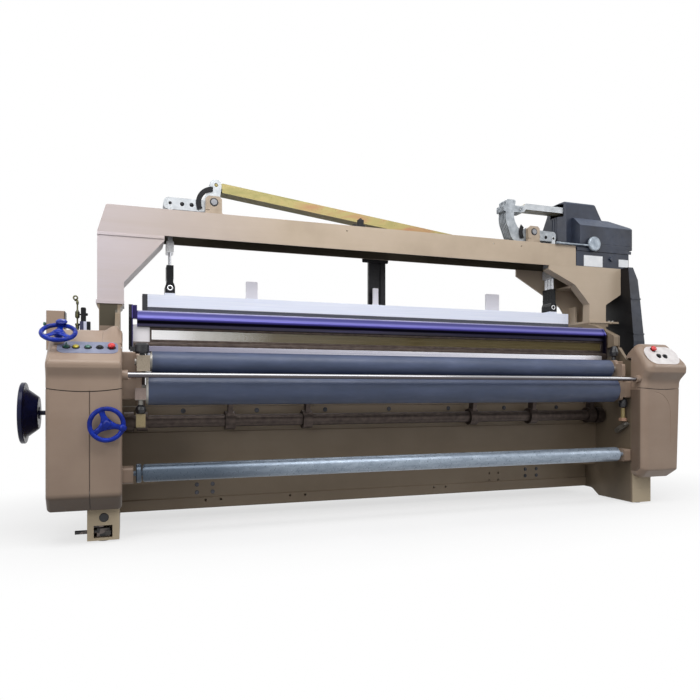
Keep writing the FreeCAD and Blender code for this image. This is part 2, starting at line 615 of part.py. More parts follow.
def roller_brackets():
    """Brackets between the side frames and the front rollers."""
    sides = []
    for side in (-1, 1):
        plate = prism("x", [
            (0, 780, 20), (110, 780, 20), (150, 850, 30), (150, 1050, 30), (120, 1084, 30),
            (60, 1084, 10), (40, 1052, 10), (-24, 1052, 15), (-24, 960, 15), (0, 930, 20)],
            PLATE_X - 28, PLATE_X)
        arm = prism("x", [(100, 850, 10), (150, 850, 10), (150, 1079.7, 10), (100, 1079.7, 10)],
                    PLATE_X - 16, FRAME_IN)
        low = prism("x", [(2, 800, 12), (100, 800, 12), (100, 925, 12), (2, 925, 12)],
                    PLATE_X + 32, FRAME_IN)
        link = box(PLATE_X - 8, PLATE_X + 37, 4, 96, 805, 920)
        cloth = prism("x", [
            (2, 320, 14), (142, 320, 14), (142, 410, 14), (2, 410, 14)], PLATE_X + 17, FRAME_IN)
        body = fuse([plate, arm, low, link])
        bores = [
            cyl("x", PRESS[:2], 20 + FIT, PLATE_X - 38, PLATE_X + 14),
            cyl("x", TAKEUP[:2], 25 + FIT, PLATE_X - 38, FRAME_IN + 1)]
        body = body.cut(bores)
        cloth = cloth.cut(cyl("x", CLOTH[:2], 15 + FIT, PLATE_X + 12, FRAME_IN - 15))
        if side < 0:
            body, cloth = mirrored(body), mirrored(cloth)
        sides += [body, cloth]
    return group(sides)


def pressure_adjusters():
    """Screws, knobs and stops on the roller brackets, left ones then right ones."""
    p = -PLATE_X
    knob = ring_profile("z", (p + 28, -42), 1052.3, [
        (0, 0), (0, 13), (8, 13), (10, 34), (20, 40), (58, 40), (69, 30), (69, 0)])
    grip = box(p - 36, p + 28, -58, -26, 1074, 1100)
    neck = box(p + 0.5, p + 72, -66, -24.3, 962, 1052.3)
    left_top = fuse([knob, grip, neck])
    block = box(p - 9, p + 52, -32, -SEAT, 798, 867)
    stem = cyl("z", (p + 22, -16), 14, 760, 800)
    ball = ring_profile("z", (p + 22, -16), 716, [
        (0, 0), (0, 14), (10, 26), (27, 31), (44, 26), (54, 14), (54, 0)])
    clip = prism("x", [(-30, 640, 8), (40, 640, 8), (40, 720), (-30, 720)], p - 3, p + 48)
    left_low = fuse([block, stem, ball, clip])
    spot = (PLATE_X + 44, 48)
    ball = ring_profile("z", spot, 722, [
        (0, 0), (0, 16), (10, 28), (36, 33), (62, 28), (78, 14), (78, 0)])
    pin = cyl("z", spot, 15, 640, 726)
    nut = hexagon("z", spot, 52, 624, 646)
    right_low = fuse([ball, pin, nut])
    upper = ring_profile("z", (PLATE_X + 24, 122), 1080, [
        (0, 0), (0, 18), (30, 16), (40, 28), (66, 32), (92, 26), (112, 16), (112, 0)])
    return group([left_top, left_low, right_low, upper])


# ---------------------------------------------------------------- sley
def sley_beam():
    end = FRAME_IN - 75
    sword = FRAME_IN - 130
    beam = prism("x", [
        (196, 1085, 8), (290, 1085, 8), (290, 1120, 6), (262, 1120, 4), (262, 1150), (234, 1150),
        (232, 1146, 3), (196, 1140, 6)], -end, end)
    shaft = cyl("x", SLEY_PIVOT, 40, -FRAME_IN - 26, FRAME_IN + 26)
    collars = [cyl("x", SLEY_PIVOT, 62, 20 - FRAME_IN, 80 - FRAME_IN),
               cyl("x", SLEY_PIVOT, 62, FRAME_IN - 80, FRAME_IN - 20)]
    swords = []
    for share in (-1, -0.68, -0.375, 0.375, 0.68, 1):
        x = share * sword
        clamp = cyl("x", SLEY_PIVOT, 60, x - 32, x + 32)
        blade = prism("x", [(300, 660), (360, 660), (290, 1086), (206, 1086)], x - 15, x + 15)
        swords += [clamp, blade]
    return fuse([beam, shaft] + collars + swords)


def reed():
    """Reed: two rails and end bars round a thin wall of dents."""
    left, right = 180 - FRAME_IN, FRAME_IN - 75
    low = box(left, right - 3, 240, 256, 1150, 1166)
    high = box(left, right - 3, 240, 256, 1224, 1240)
    wall = box(left, right - 3, 245, 251, 1160, 1230)
    ends = [box(left - 8, left + 8, 238, 258, 1150, 1240),
            box(right - 11, right, 238, 258, 1150, 1240)]
    return fuse([low, high, wall] + ends)


def reed_cap():
    left, right = 98 - FRAME_IN, FRAME_IN - 75
    cap = prism("x", [
        (222, 1240), (275, 1240), (290, 1262, 10), (290, 1318, 12), (276, 1345, 8), (250, 1340, 20),
        (216, 1296, 10), (216, 1278, 8), (230, 1262, 6)], left, right)
    left_end = prism("x", [
        (206, 1100, 8), (284, 1100, 8), (300, 1250, 10), (300, 1376, 12), (236, 1376, 12),
        (206, 1290, 10)], left - 48, left - 24)
    left_top = box(left - 26, left, 236, 290, 1290, 1372)
    right_end = prism("x", [
        (206, 1100, 8), (284, 1100, 8), (296, 1250, 10), (296, 1340, 12), (240, 1340, 12),
        (206, 1290, 10)], right, right + 17)
    return fuse([cap, left_end, left_top, right_end])


# ---------------------------------------------------------------- shedding motion
def heald_frame(i):
    y = shaft_plane(i)
    y0, y1 = y - 7, y + 7
    out, bay = FRAME_IN - 160, FRAME_IN - 186
    ring = box(-out, out, y0, y1, 980, 1490).cut(box(-bay, bay, y0 - 1, y1 + 1, 1050, 1380))
    rib = prism("x", [(y0 - 2, 1396), (y0 + 1, 1396), (y0 + 1, 1424), (y0 - 2, 1424)], -bay, bay)
    ends = []
    for x in (-out - 24, out - 4):
        ends.append(box(x, x + 28, y0 - 1, y1 + 1, 1323, 1490))
    lugs = []
    if i == SHAFTS - 1:
        for x0, x1, z1 in ((-982, -900, 1627), (963, 1085, 1636), (-16, 26, 1631)):
            lugs.append(prism("y", [(x0 - 8, 1480), (x1 + 8, 1480), (x1, 1520), (x1, z1, 6), (x0, z1, 6),
                                    (x0, 1520)], y0, y1))
    seats = [box(x - 34, x + 34, y0, y1, 1485, 1504) for x in TIE_X]
    return fuse([ring, rib] + ends + lugs + seats)


def tie_rod(x, i):
    """Hanger strap with fork, clevis, rod, sleeve and ball joint, one above the other."""
    y = shaft_plane(i)
    h = LEVER_T / 2 + LEVER_GAP
    cheek = 4.0
    parts = []
    for s in (-1, 1):
        a, b = sorted((y + s * h, y + s * (h + cheek)))
        parts.append(prism("y", [(x - 16, 1930), (x + 16, 1930), (x + 16, TIE_Z + 16, 14),
                                 (x - 16, TIE_Z + 16, 14)], a, b))
    w = h + cheek
    parts.append(box(x - 16, x + 16, y - w, y + w, 1840, 1946))
    parts.append(prism("y", [(x - 24, 1776, 6), (x + 24, 1776, 6), (x + 24, 1852, 8), (x - 24, 1852, 8)],
                       y - w, y + w))
    parts.append(cyl("y", (x, TIE_Z), PIN_R, y - w, y + w))
    parts.append(cyl("z", (x, y), 7.5, 1560, 1780))
    parts.append(slot("z", 1600, 1690, x - 23, x + 23, y - w, y + w, 6))
    parts.append(prism("y", [(x - 32, 1504.3), (x + 32, 1504.3), (x + 32, 1548, 14), (x + 22, 1576, 12),
                             (x - 22, 1576, 12), (x - 32, 1548, 14)], y - w, y + w))
    parts.append(prism("y", [(x - 20, 1570), (x + 20, 1570), (x + 22, 1606), (x - 22, 1606)], y - w, y + w))
    return fuse(parts)


def lever_blank(points, t, y):
    return prism("y", points, y - t / 2, y + t / 2)


def left_crank(i):
    y = shaft_plane(i)
    px, pz = LEFT_PIVOT
    arm = lever_blank([
        (px - 326, TIE_Z - 40, 34), (px - 60, TIE_Z - 40, 10), (px, pz - 42, 10), (px + 40, pz - 20, 30),
        (px + 48, pz + 60, 30), (LEFT_PIN[0] + 36, LEFT_PIN[1] - 10, 20),
        (LEFT_PIN[0] + 30, LEFT_PIN[1] + 36, 26),
        (LEFT_PIN[0] - 40, LEFT_PIN[1] + 34, 28), (LEFT_PIN[0] - 42, LEFT_PIN[1] - 34, 24),
        (px - 44, pz + 70, 40), (px - 70, TIE_Z + 40, 20), (px - 326, TIE_Z + 40, 34)],
        LEVER_T, y)
    holes = [cyl("y", LEFT_PIVOT, CRANK_SHAFT_R + FIT, y - 6, y + 6),
             cyl("y", (px - LEFT_ARM, TIE_Z), PIN_HOLE_R, y - 6, y + 6),
             cyl("y", (px - 206, TIE_Z), 14, y - 6, y + 6),
             cyl("y", (px - 144, TIE_Z), 14, y - 6, y + 6),
             cyl("y", LEFT_PIN, PIN_HOLE_R, y - 6, y + 6)]
    return arm.cut(holes)


def right_crank(i):
    y = shaft_plane(i)
    px, pz = RIGHT_PIVOT
    body = lever_blank([
        (px - 30, pz - RIGHT_LOW - 24, 22), (px + 30, pz - RIGHT_LOW - 24, 22), (px + 40, pz - 54, 30),
        (px + 243, pz - 54, 30), (px + 243, pz + 26, 30), (px + 50, pz + 30, 20), (px - 20, pz + 50, 30),
        (px - 110, pz + 10, 50), (px - 164, pz + 110, 120), (px - 142, pz + 256, 12),
        (px - 229, pz + 256, 16), (px - 236, pz + 90, 200), (px - 176, pz - 66, 70)],
        LEVER_T, y)
    clip = lever_blank([
        (px - 254, pz + 159, 8), (px - 71, pz + 159, 20), (px - 71, pz + 211, 20),
        (px - 254, pz + 211, 8)], LEVER_T, y)
    tie = px + RIGHT_ARM
    holes = [cyl("y", RIGHT_PIVOT, CRANK_SHAFT_R + FIT, y - 6, y + 6),
             slot("y", y - 6, y + 6, tie - PIN_HOLE_R, tie + PIN_HOLE_R + TIE_SLOT,
                  TIE_Z - PIN_HOLE_R, TIE_Z + PIN_HOLE_R, PIN_HOLE_R - 0.01),
             cyl("y", (px + 77, TIE_Z + 5), 14, y - 6, y + 6),
             cyl("y", (px + 145, TIE_Z + 5), 14, y - 6, y + 6),
             cyl("y", (px, pz - RIGHT_LOW), PIN_HOLE_R, y - 6, y + 6),
             cyl("y", DOBBY_PIN, PIN_HOLE_R, y - 6, y + 6)]
    return fuse([body, clip]).cut(holes)


def beside(i):
    """Plane of the links and rods, next to the crank of the same shaft."""
    return shaft_plane(i) + LEVER_T + LEVER_GAP


def link_bar(i):
    y = beside(i)
    x0, top = LEFT_PIN[0] + 41, LEFT_PIN[1] + 18
    x_end = RIGHT_PIVOT[0] - 51
    z_end = top - (x_end - x0) * LINK_FALL
    low = (RIGHT_PIVOT[0], RIGHT_PIVOT[1] - RIGHT_LOW)
    bar = lever_blank([
        (x0, top - 65), (x0, top, 6), (x_end, z_end, 10), (x_end, z_end - 65, 10)], LEVER_T, y)
    eye = lever_blank([
        (LEFT_PIN[0] - 18, LEFT_PIN[1] - 18, 16), (x0 + 13, LEFT_PIN[1] - 22), (x0 + 13, LEFT_PIN[1] + 14),
        (LEFT_PIN[0] - 18, LEFT_PIN[1] + 18, 16)], LEVER_T, y)
    lug = lever_blank([
        (x_end - 34, z_end - 60, 10), (x_end + 10, z_end - 60, 10), (low[0] + 18, low[1] - 18, 16),
        (low[0] + 18, low[1] + 18, 16), (low[0] - 20, low[1] + 18, 16), (x_end - 34, z_end - 6)], LEVER_T, y)
    pins = [cyl("y", LEFT_PIN, PIN_R, shaft_plane(i) - LEVER_T / 2, y),
            cyl("y", low, PIN_R, shaft_plane(i) - LEVER_T / 2, y)]
    return fuse([bar, eye, lug] + pins)


def dobby_rod(i):
    y = beside(i)
    px, pz = DOBBY_PIN
    bar = lever_blank([
        (px + 33, pz + 6, 4), (BEAM_RIGHT + 124, pz + 6, 4), (BEAM_RIGHT + 124, pz + 54, 4),
        (px + 53, pz + 54, 10)], LEVER_T, y)
    eye = lever_blank([
        (px - 22, pz - 20, 18), (px + 40, pz - 20, 6), (px + 68, pz + 21), (px + 68, pz + 54),
        (px + 28, pz + 33, 10), (px - 22, pz + 22, 18)], LEVER_T, y)
    pin = cyl("y", DOBBY_PIN, PIN_R, shaft_plane(i) - LEVER_T / 2, y)
    return fuse([bar, eye, pin])


def crank_bearings():
    """Split bearing blocks with the two fixed shafts the cranks turn on."""
    parts = []
    for pivot, rise in ((LEFT_PIVOT, 42), (RIGHT_PIVOT, 46)):
        x0, x1, top = pivot[0] - 70, pivot[0] + 67, pivot[1] + rise
        for y0, y1 in ((SHAFT_Y - 50, SHAFT_Y - 16), (GANTRY_REAR - 20, GANTRY_REAR)):
            block = prism("y", [
                (x0, BEAM_Z1), (x0, BEAM_Z1 + 18, 6), (x0 + 14, BEAM_Z1 + 26, 10), (x0 + 14, top - 18, 6),
                (x0 + 32, top, 6), (x1 - 32, top, 6), (x1 - 14, top - 18, 6), (x1 - 14, BEAM_Z1 + 26, 10),
                (x1, BEAM_Z1 + 18, 6), (x1, BEAM_Z1)], y0, y1)
            block = block.cut(box(x0 - 1, pivot[0] - 28, y0 - 1, y1 + 1, pivot[1] - 56, pivot[1] - 53))
            parts.append(block)
        parts.append(cyl("y", pivot, CRANK_SHAFT_R, SHAFT_Y - 56, GANTRY_REAR))
    left = fuse(parts[:3])
    right = fuse(parts[3:])
    return group([left, right])


def guide_post():
    z0, z1 = BEAM_Z0 - 25, BEAM_Z0 + 60
    plate = prism("y", [(-85, z0, 10), (125, z0, 10), (125, z1, 10), (-85, z1, 10)],
                  GANTRY_REAR, GANTRY_REAR + 14)
    legs = [box(x, x + 41, GANTRY_REAR + 14, GANTRY_REAR + 44, 1060, z1 - 37) for x in (-29, 67)]
    ties = [box(-29, 108, GANTRY_REAR + 20, GANTRY_REAR + 38, z, z + 40) for z in (1060, 1420, 1780)]
    return fuse([plate] + legs + ties)


# ---------------------------------------------------------------- dobby and drive
def dobby_case():
    x0, x1 = BEAM_RIGHT + 6, DOBBY_RIGHT - 36
    z0, z1 = BEAM_Z0 + 13, DOBBY_Z - SEAT
    body = prism("x", [(DOBBY_Y, z0), (DOBBY_Y, z1), (DOBBY_REAR, z1), (DOBBY_REAR, z0)], x0, x1)
    room = prism("x", [(DOBBY_Y + 15, z0 + 30), (DOBBY_Y + 15, z1 + 9), (DOBBY_REAR - 15, z1 + 9),
                       (DOBBY_REAR - 15, z0 + 30)], x0 + 15, x1 - 15)
    ledge = box(x0, x1 + 20, DOBBY_Y - 7, DOBBY_Y + 0.5, z1 - 35, z1 - 11)
    kx, kz = x0 + 346, z0 + 75
    knob = prism("y", [(kx, kz - 22, 2), (kx + 22, kz, 2), (kx, kz + 22, 2), (kx - 22, kz, 2)],
                 DOBBY_Y - 12, DOBBY_Y + 1)
    return fuse([body.cut(room), ledge, knob])


def dobby_hull(t):
    """Outline of the dobby cover, drawn t inside its outer faces."""
    y0, y1, z = DOBBY_Y, DOBBY_REAR, DOBBY_Z
    foot = z - (60 if t else 0)
    x0, x1, x2 = BEAM_RIGHT + 41, BEAM_RIGHT - 66, BEAM_RIGHT + 354
    low = prism("x", [
        (y0 + t, foot), (y0 + t, z + 176 - t / 2, 10 - t), (y0 + 83 + t / 2, z + 254 - t, 20),
        (y1 - 200 - t / 2, z + 254 - t, 20), (y1 - 28 - t, z + 149, 30), (y1 - t, foot)],
        x0 + t, DOBBY_RIGHT - t)
    ends = prism("y", [
        (x0 + t, foot), (x0 + t, z + 269), (x2 - 10, z + 269), (DOBBY_RIGHT - t, z + 191 - t, 14),
        (DOBBY_RIGHT - t, foot)], y0 - 50, y1 + 100)
    tall = prism("x", [
        (y0 + 105 + t, foot), (y0 + 105 + t, z + 259), (y0 + 111 + t, z + 393 - t, 20),
        (y0 + 256 - t / 2, z + 393 - t, 20), (y0 + 290 - t, z + 294, 20), (y0 + 353 - t, z + 191, 20),
        (y1 - 32 - t, z + 69), (y1 - 20 - t, foot)], x1 + t, x2 - t)
    side = prism("y", [
        (x1 + t, z - 81), (x1 + t, z + 373 - t, 20), (x1 + 55, z + 393 - t), (x2 - 78 - t, z + 393 - t, 25),
        (x2 - 8 - t, z + 259), (x2 - 8 - t, z - 81)], y0 - 50, y1 + 100)
    corner = prism("z", [
        (x1 + t, y0 + 157 + t / 2, 12), (x1 + 55 + t / 2, y0 + 105 + t, 12), (x2, y0 + 105 + t),
        (x2, y1 + 100), (x1 + t, y1 + 100)], z - 81, z + 469)
    return low.common(ends), tall.common(side).common(corner)


def dobby_cover():
    shell = fuse(dobby_hull(0)).cut(dobby_hull(5))
    x1 = BEAM_RIGHT - 66
    y0, y1 = SHAFT_Y - 14, beside(SHAFTS - 1) + 10
    mouth = box(x1 - 10, x1 + 40, y0, y1, DOBBY_PIN[1] - 21, DOBBY_PIN[1] + 83)
    beam_rest = box(x1 - 10, BEAM_RIGHT + 2, DOBBY_Y - 50, DOBBY_REAR + 100, BEAM_Z1 - 130, BEAM_Z1 + 5)
    groove = box(BEAM_RIGHT, DOBBY_RIGHT + 10, DOBBY_Y - 1, DOBBY_Y + 1.5, DOBBY_Z + 27, DOBBY_Z + 33)
    rib = fuse([box(x1 - 3, x1 + 1, y, y + 8, DOBBY_Z + 29, DOBBY_Z + 259)
                for y in (DOBBY_Y + 185, DOBBY_Y + 217)])
    return fuse([shell.cut([mouth, beam_rest, groove]), rib])


def drive_hull(t):
    """Outline of the drive cover, drawn t inside its outer faces."""
    right, top = DOBBY_RIGHT - 5 - 1.2 * t, BEAM_Z0 + 12.7 - 4 * t
    foot = 560 + 8 * t
    front = prism("y", [
        (right - 112 + 2.2 * t, foot), (right, foot), (right, 1235), (right - 5, 1317), (right - 15, 1608),
        (right - 23, 1766, 10), (right - 64 + 1.6 * t, top), (right - 112 + 2.2 * t, top)], 200, 800)
    side = prism("x", [
        (330 + 2 * t, foot), (310 + 1.6 * t, 1257), (370 + 1.6 * t, top), (740 - 1.6 * t, top),
        (760 - 1.6 * t, foot)], right - 150, right + 50)
    return front.common(side)


def drive_cover():
    outer = drive_hull(0)
    body = outer.cut(drive_hull(5))
    bands = []
    for z in (1317, 1608):
        wide = outer.common(box(0, DOBBY_RIGHT + 50, 200, 800, z - 6, z + 6))
        wide.translate(V(4, -4, 0))
        bands.append(wide.cut(drive_hull(4)))
    return fuse([body] + bands)


def levelling_lever():
    spot = (BEAM_RIGHT + 167, BEAM_Z1 + 24)
    disc = ring_profile("y", spot, DOBBY_Y - 31, [
        (0, 0), (0, 50), (4, 58), (16, 60), (20, 54), (20, 12), (30.5, 12), (30.5, 0)])
    line = (DOBBY_Y - 19, spot[1] - 16)
    rod = cyl("x", line, 7, spot[0] - 371, spot[0] - 43)
    grip = cyl("x", line, 10, spot[0] - 371, spot[0] - 333)
    return fuse([disc, rod, grip])


# ---------------------------------------------------------------- small units
def levelling_feet():
    feet = []
    for sx in (-1, 1):
        for y in (70, 300, 1090, 1270):
            x = sx * (FRAME_IN + FOOT_W / 2)
            pad = ring_profile("z", (x, y), 0, [(0, 0), (0, 38), (6, 36), (7, 16), (FOOT_Z, 16), (FOOT_Z, 0)])
            feet.append(pad)
    return group(feet)


def foot_valve():
    x = -FRAME_IN
    rod = cyl("x", (30, 57), 11, x - 235, x - 120)
    core = box(x - 120, x - 52, 24, 110, 28, 74)
    shelf = box(x - 136, x - 85, 8, 24, 84, 93.9)
    cap = ring_profile("y", (x - 82, 138), -4, [(0, 0), (0, 22), (4, 25.7), (40, 25.7), (40, 0)])
    step = box(x - 74, x - 46, 14, 24.2, 36, 60)
    return group([fuse([rod, core, step]), cap, shelf])


def junction_box():
    x = -BOX_OUT
    case = box(x - 54, x + 49, 430, 540, 1100, 1341)
    lid = box(x - 50, x + 45, 424, 430, 1104, 1337)
    arm = box(x + 40, -FRAME_IN - WEB, 470, 510, 1120, 1160)
    foot = box(-FRAME_IN - WEB - 12, -FRAME_IN - WEB, 466, 540, 1100, 1180)
    return fuse([case, lid, arm, foot])


def weft_guides():
    x = -BOX_OUT + 117
    block = box(x + 15, x + 76, 465, 515, 1160, 1285)
    post = cyl("z", (x, 490), 5, 1160, 1420)
    eye = Part.makeTorus(11, 3, V(x - 11, 490, 1433), V(0, 1, 0))
    stem = cyl("x", (490, 1416), 4, x - 17, x + 5)
    sensor = prism("y", [(x + 20, 1285), (x + 50, 1285), (x + 50, 1374, 8), (x + 20, 1374, 8)], 478, 502)
    link = cyl("x", (490, 1330), 5, x - 5, x + 23)
    clamp = cyl("z", (x, 490), 11, 1241, 1262)
    return fuse([block, post, eye, stem, sensor, link, clamp])


def release_lever():
    x = FRAME_IN - 44
    boss = cyl("x", (40, 600), 17, x, x + 24)
    arm = prism("x", [
        (30, 612, 8), (56, 612, 8), (150, 556, 12), (140, 530, 12), (118, 530, 12), (26, 588, 8)],
        x + 4, x + 22)
    return fuse([boss, arm]).cut(cyl("x", (40, 600), 8 + FIT, x - 6, x + 29))


def fasteners():
    """Hexagon heads on the gantry feet and the beam, and the pin of the release lever."""
    heads = []
    for x in (FRAME_IN + 15, FRAME_IN + 80, FRAME_IN + 215, FRAME_IN + 250):
        for y in (500, 660):
            heads.append(hexagon("z", (x, y), 24, 1425, 1438))
    for x in (BEAM_LEFT + 257, BEAM_LEFT + 317, BEAM_RIGHT - 206, BEAM_RIGHT - 106):
        heads.append(hexagon("y", (x, BEAM_Z0 + 28), 20, GANTRY_REAR, GANTRY_REAR + 9))
    pin = fuse([cyl("x", (40, 600), 8, FRAME_IN - 46, FRAME_IN),
                hexagon("x", (40, 600), 20, FRAME_IN - 54, FRAME_IN - 46)])
    return group(heads + [pin])


# ---------------------------------------------------------------- output
save("left_side_frame", side_frame(True))
save("right_side_frame", side_frame(False))
save("cross_girders", cross_girders())
save("middle_girder", middle_girder())
save("top_beam", top_beam())
save("left_post", left_post())
save("right_bracket", right_bracket())
hood_l, cover_l, door_l = left_box()
save("left_hood", hood_l)
save("left_cover", cover_l)
save("left_door", door_l)
hood_r, cover_r = right_box()
save("right_hood", hood_r)
save("right_cover", cover_r)
save("left_panel", left_panel())
save("right_panel", right_panel())
save("front_rail", front_rail())
save("roller_brackets", roller_brackets())
save("pressure_adjusters", pressure_adjusters())
save("press_roller", press_roller())
save("takeup_roller", takeup_roller())
save("cloth_roller", cloth_roller())
save("back_rest_roller", back_rest_roller())
save("warp_beam", warp_beam())
save("sley_beam", sley_beam())
save("reed", reed())
save("reed_cap", reed_cap())
for tag, first in (("a", 0), ("b", 1)):
    index = range(first, SHAFTS, 2)
    save("heald_frames_" + tag, group([heald_frame(i) for i in index]))
    save("tie_rods_" + tag, group([tie_rod(x, i) for i in index for x in TIE_X]))
    save("left_cranks_" + tag, group([left_crank(i) for i in index]))
    save("right_cranks_" + tag, group([right_crank(i) for i in index]))
    save("link_bars_" + tag, group([link_bar(i) for i in index]))
    save("dobby_rods_" + tag, group([dobby_rod(i) for i in index]))
save("crank_bearings", crank_bearings())
save("guide_post", guide_post())
save("dobby_case", dobby_case())
save("dobby_cover", dobby_cover())
save("drive_cover", drive_cover())
save("levelling_lever", levelling_lever())
save("levelling_feet", levelling_feet())
save("foot_valve", foot_valve())
save("junction_box", junction_box())
save("weft_guides", weft_guides())
save("release_lever", release_lever())
save("fasteners", fasteners())
save("main_handwheel", main_handwheel())
save("top_handwheel", top_handwheel())
save("front_handwheel", front_handwheel())
names = ("selector_switch", "yellow_button", "green_button", "black_button", "stop_button")
kinds = (selector(), button(12, 15, 4, 3), button(12, 15, 4, 3), button(12, 15, 4, 3), mushroom(12, 20))
for name, x, kind in zip(names, BUTTON_X, kinds):
    save(name, lie(kind, slope_point(x, -25), LEFT_SLOPE))
names = ("right_stop_button", "right_start_button", "right_jog_button")
kinds = (mushroom(14, 22), button(11, 14, 4, 3), button(11, 14, 4, 3))
for name, spot, kind in zip(names, RIGHT_BUTTONS, kinds):
    save(name, lie(kind, right_slope_point(spot[0], spot[1]), RIGHT_SLOPE))
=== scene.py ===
import bpy
import bmesh
import math
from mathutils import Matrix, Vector


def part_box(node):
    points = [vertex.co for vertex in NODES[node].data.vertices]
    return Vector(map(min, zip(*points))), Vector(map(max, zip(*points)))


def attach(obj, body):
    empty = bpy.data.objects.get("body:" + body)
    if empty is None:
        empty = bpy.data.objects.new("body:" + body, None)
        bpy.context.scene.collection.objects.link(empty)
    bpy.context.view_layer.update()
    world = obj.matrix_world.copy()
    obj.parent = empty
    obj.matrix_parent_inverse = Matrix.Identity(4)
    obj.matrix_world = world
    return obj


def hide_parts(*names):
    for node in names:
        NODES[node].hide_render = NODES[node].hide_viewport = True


bl_info = {
    "name": "Power Loom Dressing",
    "version": (1, 0, 0),
    "blender": (4, 5, 0),
    "location": "View3D > Sidebar > Loom",
    "description": "Finishes, fixings and small parts for the power loom's solid model",
    "category": "Object",
}

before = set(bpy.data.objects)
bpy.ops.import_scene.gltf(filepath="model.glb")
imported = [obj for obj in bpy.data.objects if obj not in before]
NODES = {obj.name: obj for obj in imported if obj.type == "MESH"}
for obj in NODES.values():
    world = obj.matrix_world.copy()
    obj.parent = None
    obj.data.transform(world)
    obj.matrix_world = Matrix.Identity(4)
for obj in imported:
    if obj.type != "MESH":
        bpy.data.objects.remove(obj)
MATERIALS = {}

# Places are millimetres of the loom drawing: X to the right along the machine, Y back
# from the fronts of the feet, Z up from the floor.
SHIFT = Vector((0.0515, -0.648, 0.0))      # drawing zero in the shared frame, metres
RIGHT, BACK, UP = Vector((1, 0, 0)), Vector((0, 1, 0)), Vector((0, 0, 1))
FRONT = -BACK

# Side boxes: their side faces, and their front.
LEFT_BOX, RIGHT_BOX, BOX_FRONT = (-2189, -1806), (1806, 2139), -124
# Sloping control faces: y and z of the foot, and the slope in degrees.
LEFT_FACE, RIGHT_FACE = (-151, 1010, 33), (-186, 1031, 52.08)
HOOD_TOP = 1204.5

# Shedding motion: x and z of the crank shafts and of the empty holes in their levers, y,
# spacing and number of the heald shafts, and x of the tie rods with z of their pins.
SHAFTS = {"left": (-1224, 2126), "right": (1321, 2134)}
LEVER_HOLES = {"left": ((-1430, 2106), (-1368, 2106)), "right": ((1398, 2111), (1466, 2111))}
CRANK_BODY = {"left": "left_cranks_set_", "right": "right_cranks_set_"}
FIRST_SHED, SHED_PITCH, SHEDS = 580, 20, 6
TIE_RODS, BALL_JOINT, STRAP_PIN = (-1508, 1537), 1538, 2106

CAP_FACE = (1240, 1345)                    # heights between which painted light and shade change on the reed cap
GUIDE_Y = 490                              # line of the weft guides

# The picture's camera: place in metres, turn in degrees, and its lens on a 36 mm sensor.
CAMERA_PLACE, CAMERA_TURN, CAMERA_LENS = (-1.726, -4.504, 0.850), -19.18, 32.914
PICTURE_PX, HORIZON_PX = 700.0, 41.0       # width, and how far the horizon is below the middle
LAMPS = (                                  # name, place, aim, watts, width and depth
    ("Ceiling softbox", (-0.6, -2.3, 4.0), (0.0, 0.0, 1.4), 150.0, (6.0, 2.0)),
    ("Rear softbox", (0.0, 2.6, 4.2), (0.0, 0.0, 1.2), 70.0, (5.0, 1.6)),
    ("Left softbox", (-5.4, -5.2, 3.2), (-0.6, 0.0, 1.5), 85.0, (2.4, 2.4)),
    ("Right softbox", (5.6, -3.0, 3.4), (0.8, 0.0, 1.5), 45.0, (2.4, 2.4)))

# How marks are drawn out along the machine: lines of a die, and wear along them.
DIE_LINES, WORN = (0.004, 1.0, 1.0), (0.01, 1.0, 1.0)


def at(x, y, z):
    """Point of the loom drawing, in millimetres, as metres in the shared frame."""
    return Vector((x, y, z)) * 0.001 + SHIFT


def linear(code):
    """Linear colour from an sRGB hex code."""
    out = []
    for k in (1, 3, 5):
        c = int(code[k:k + 2], 16) / 255
        out.append(c / 12.92 if c <= 0.04045 else ((c + 0.055) / 1.055) ** 2.4)
    return (*out, 1.0)


# ------------------------------------------------------------------ materials
def add(tree, kind, inputs=None, stops=(), steps="LINEAR", **settings):
    """Adds one node with its settings and its inputs, as values or links. A colour ramp
    also gets its stops, each a position and a hex code or grey, and how it steps."""
    node = tree.nodes.new(kind)
    for key, value in settings.items():
        setattr(node, key, value)
    for key, value in (inputs or {}).items():
        if isinstance(value, bpy.types.NodeSocket):
            tree.links.new(value, node.inputs[key])
        else:
            node.inputs[key].default_value = value
    if stops:
        node.color_ramp.interpolation = steps
        points = node.color_ramp.elements
        while len(points) < len(stops):
            points.new(0.5)
        for point, (place, tone) in zip(points, stops):
            point.position = place
            point.color = linear(tone) if isinstance(tone, str) else (tone, tone, tone, 1)
    return node


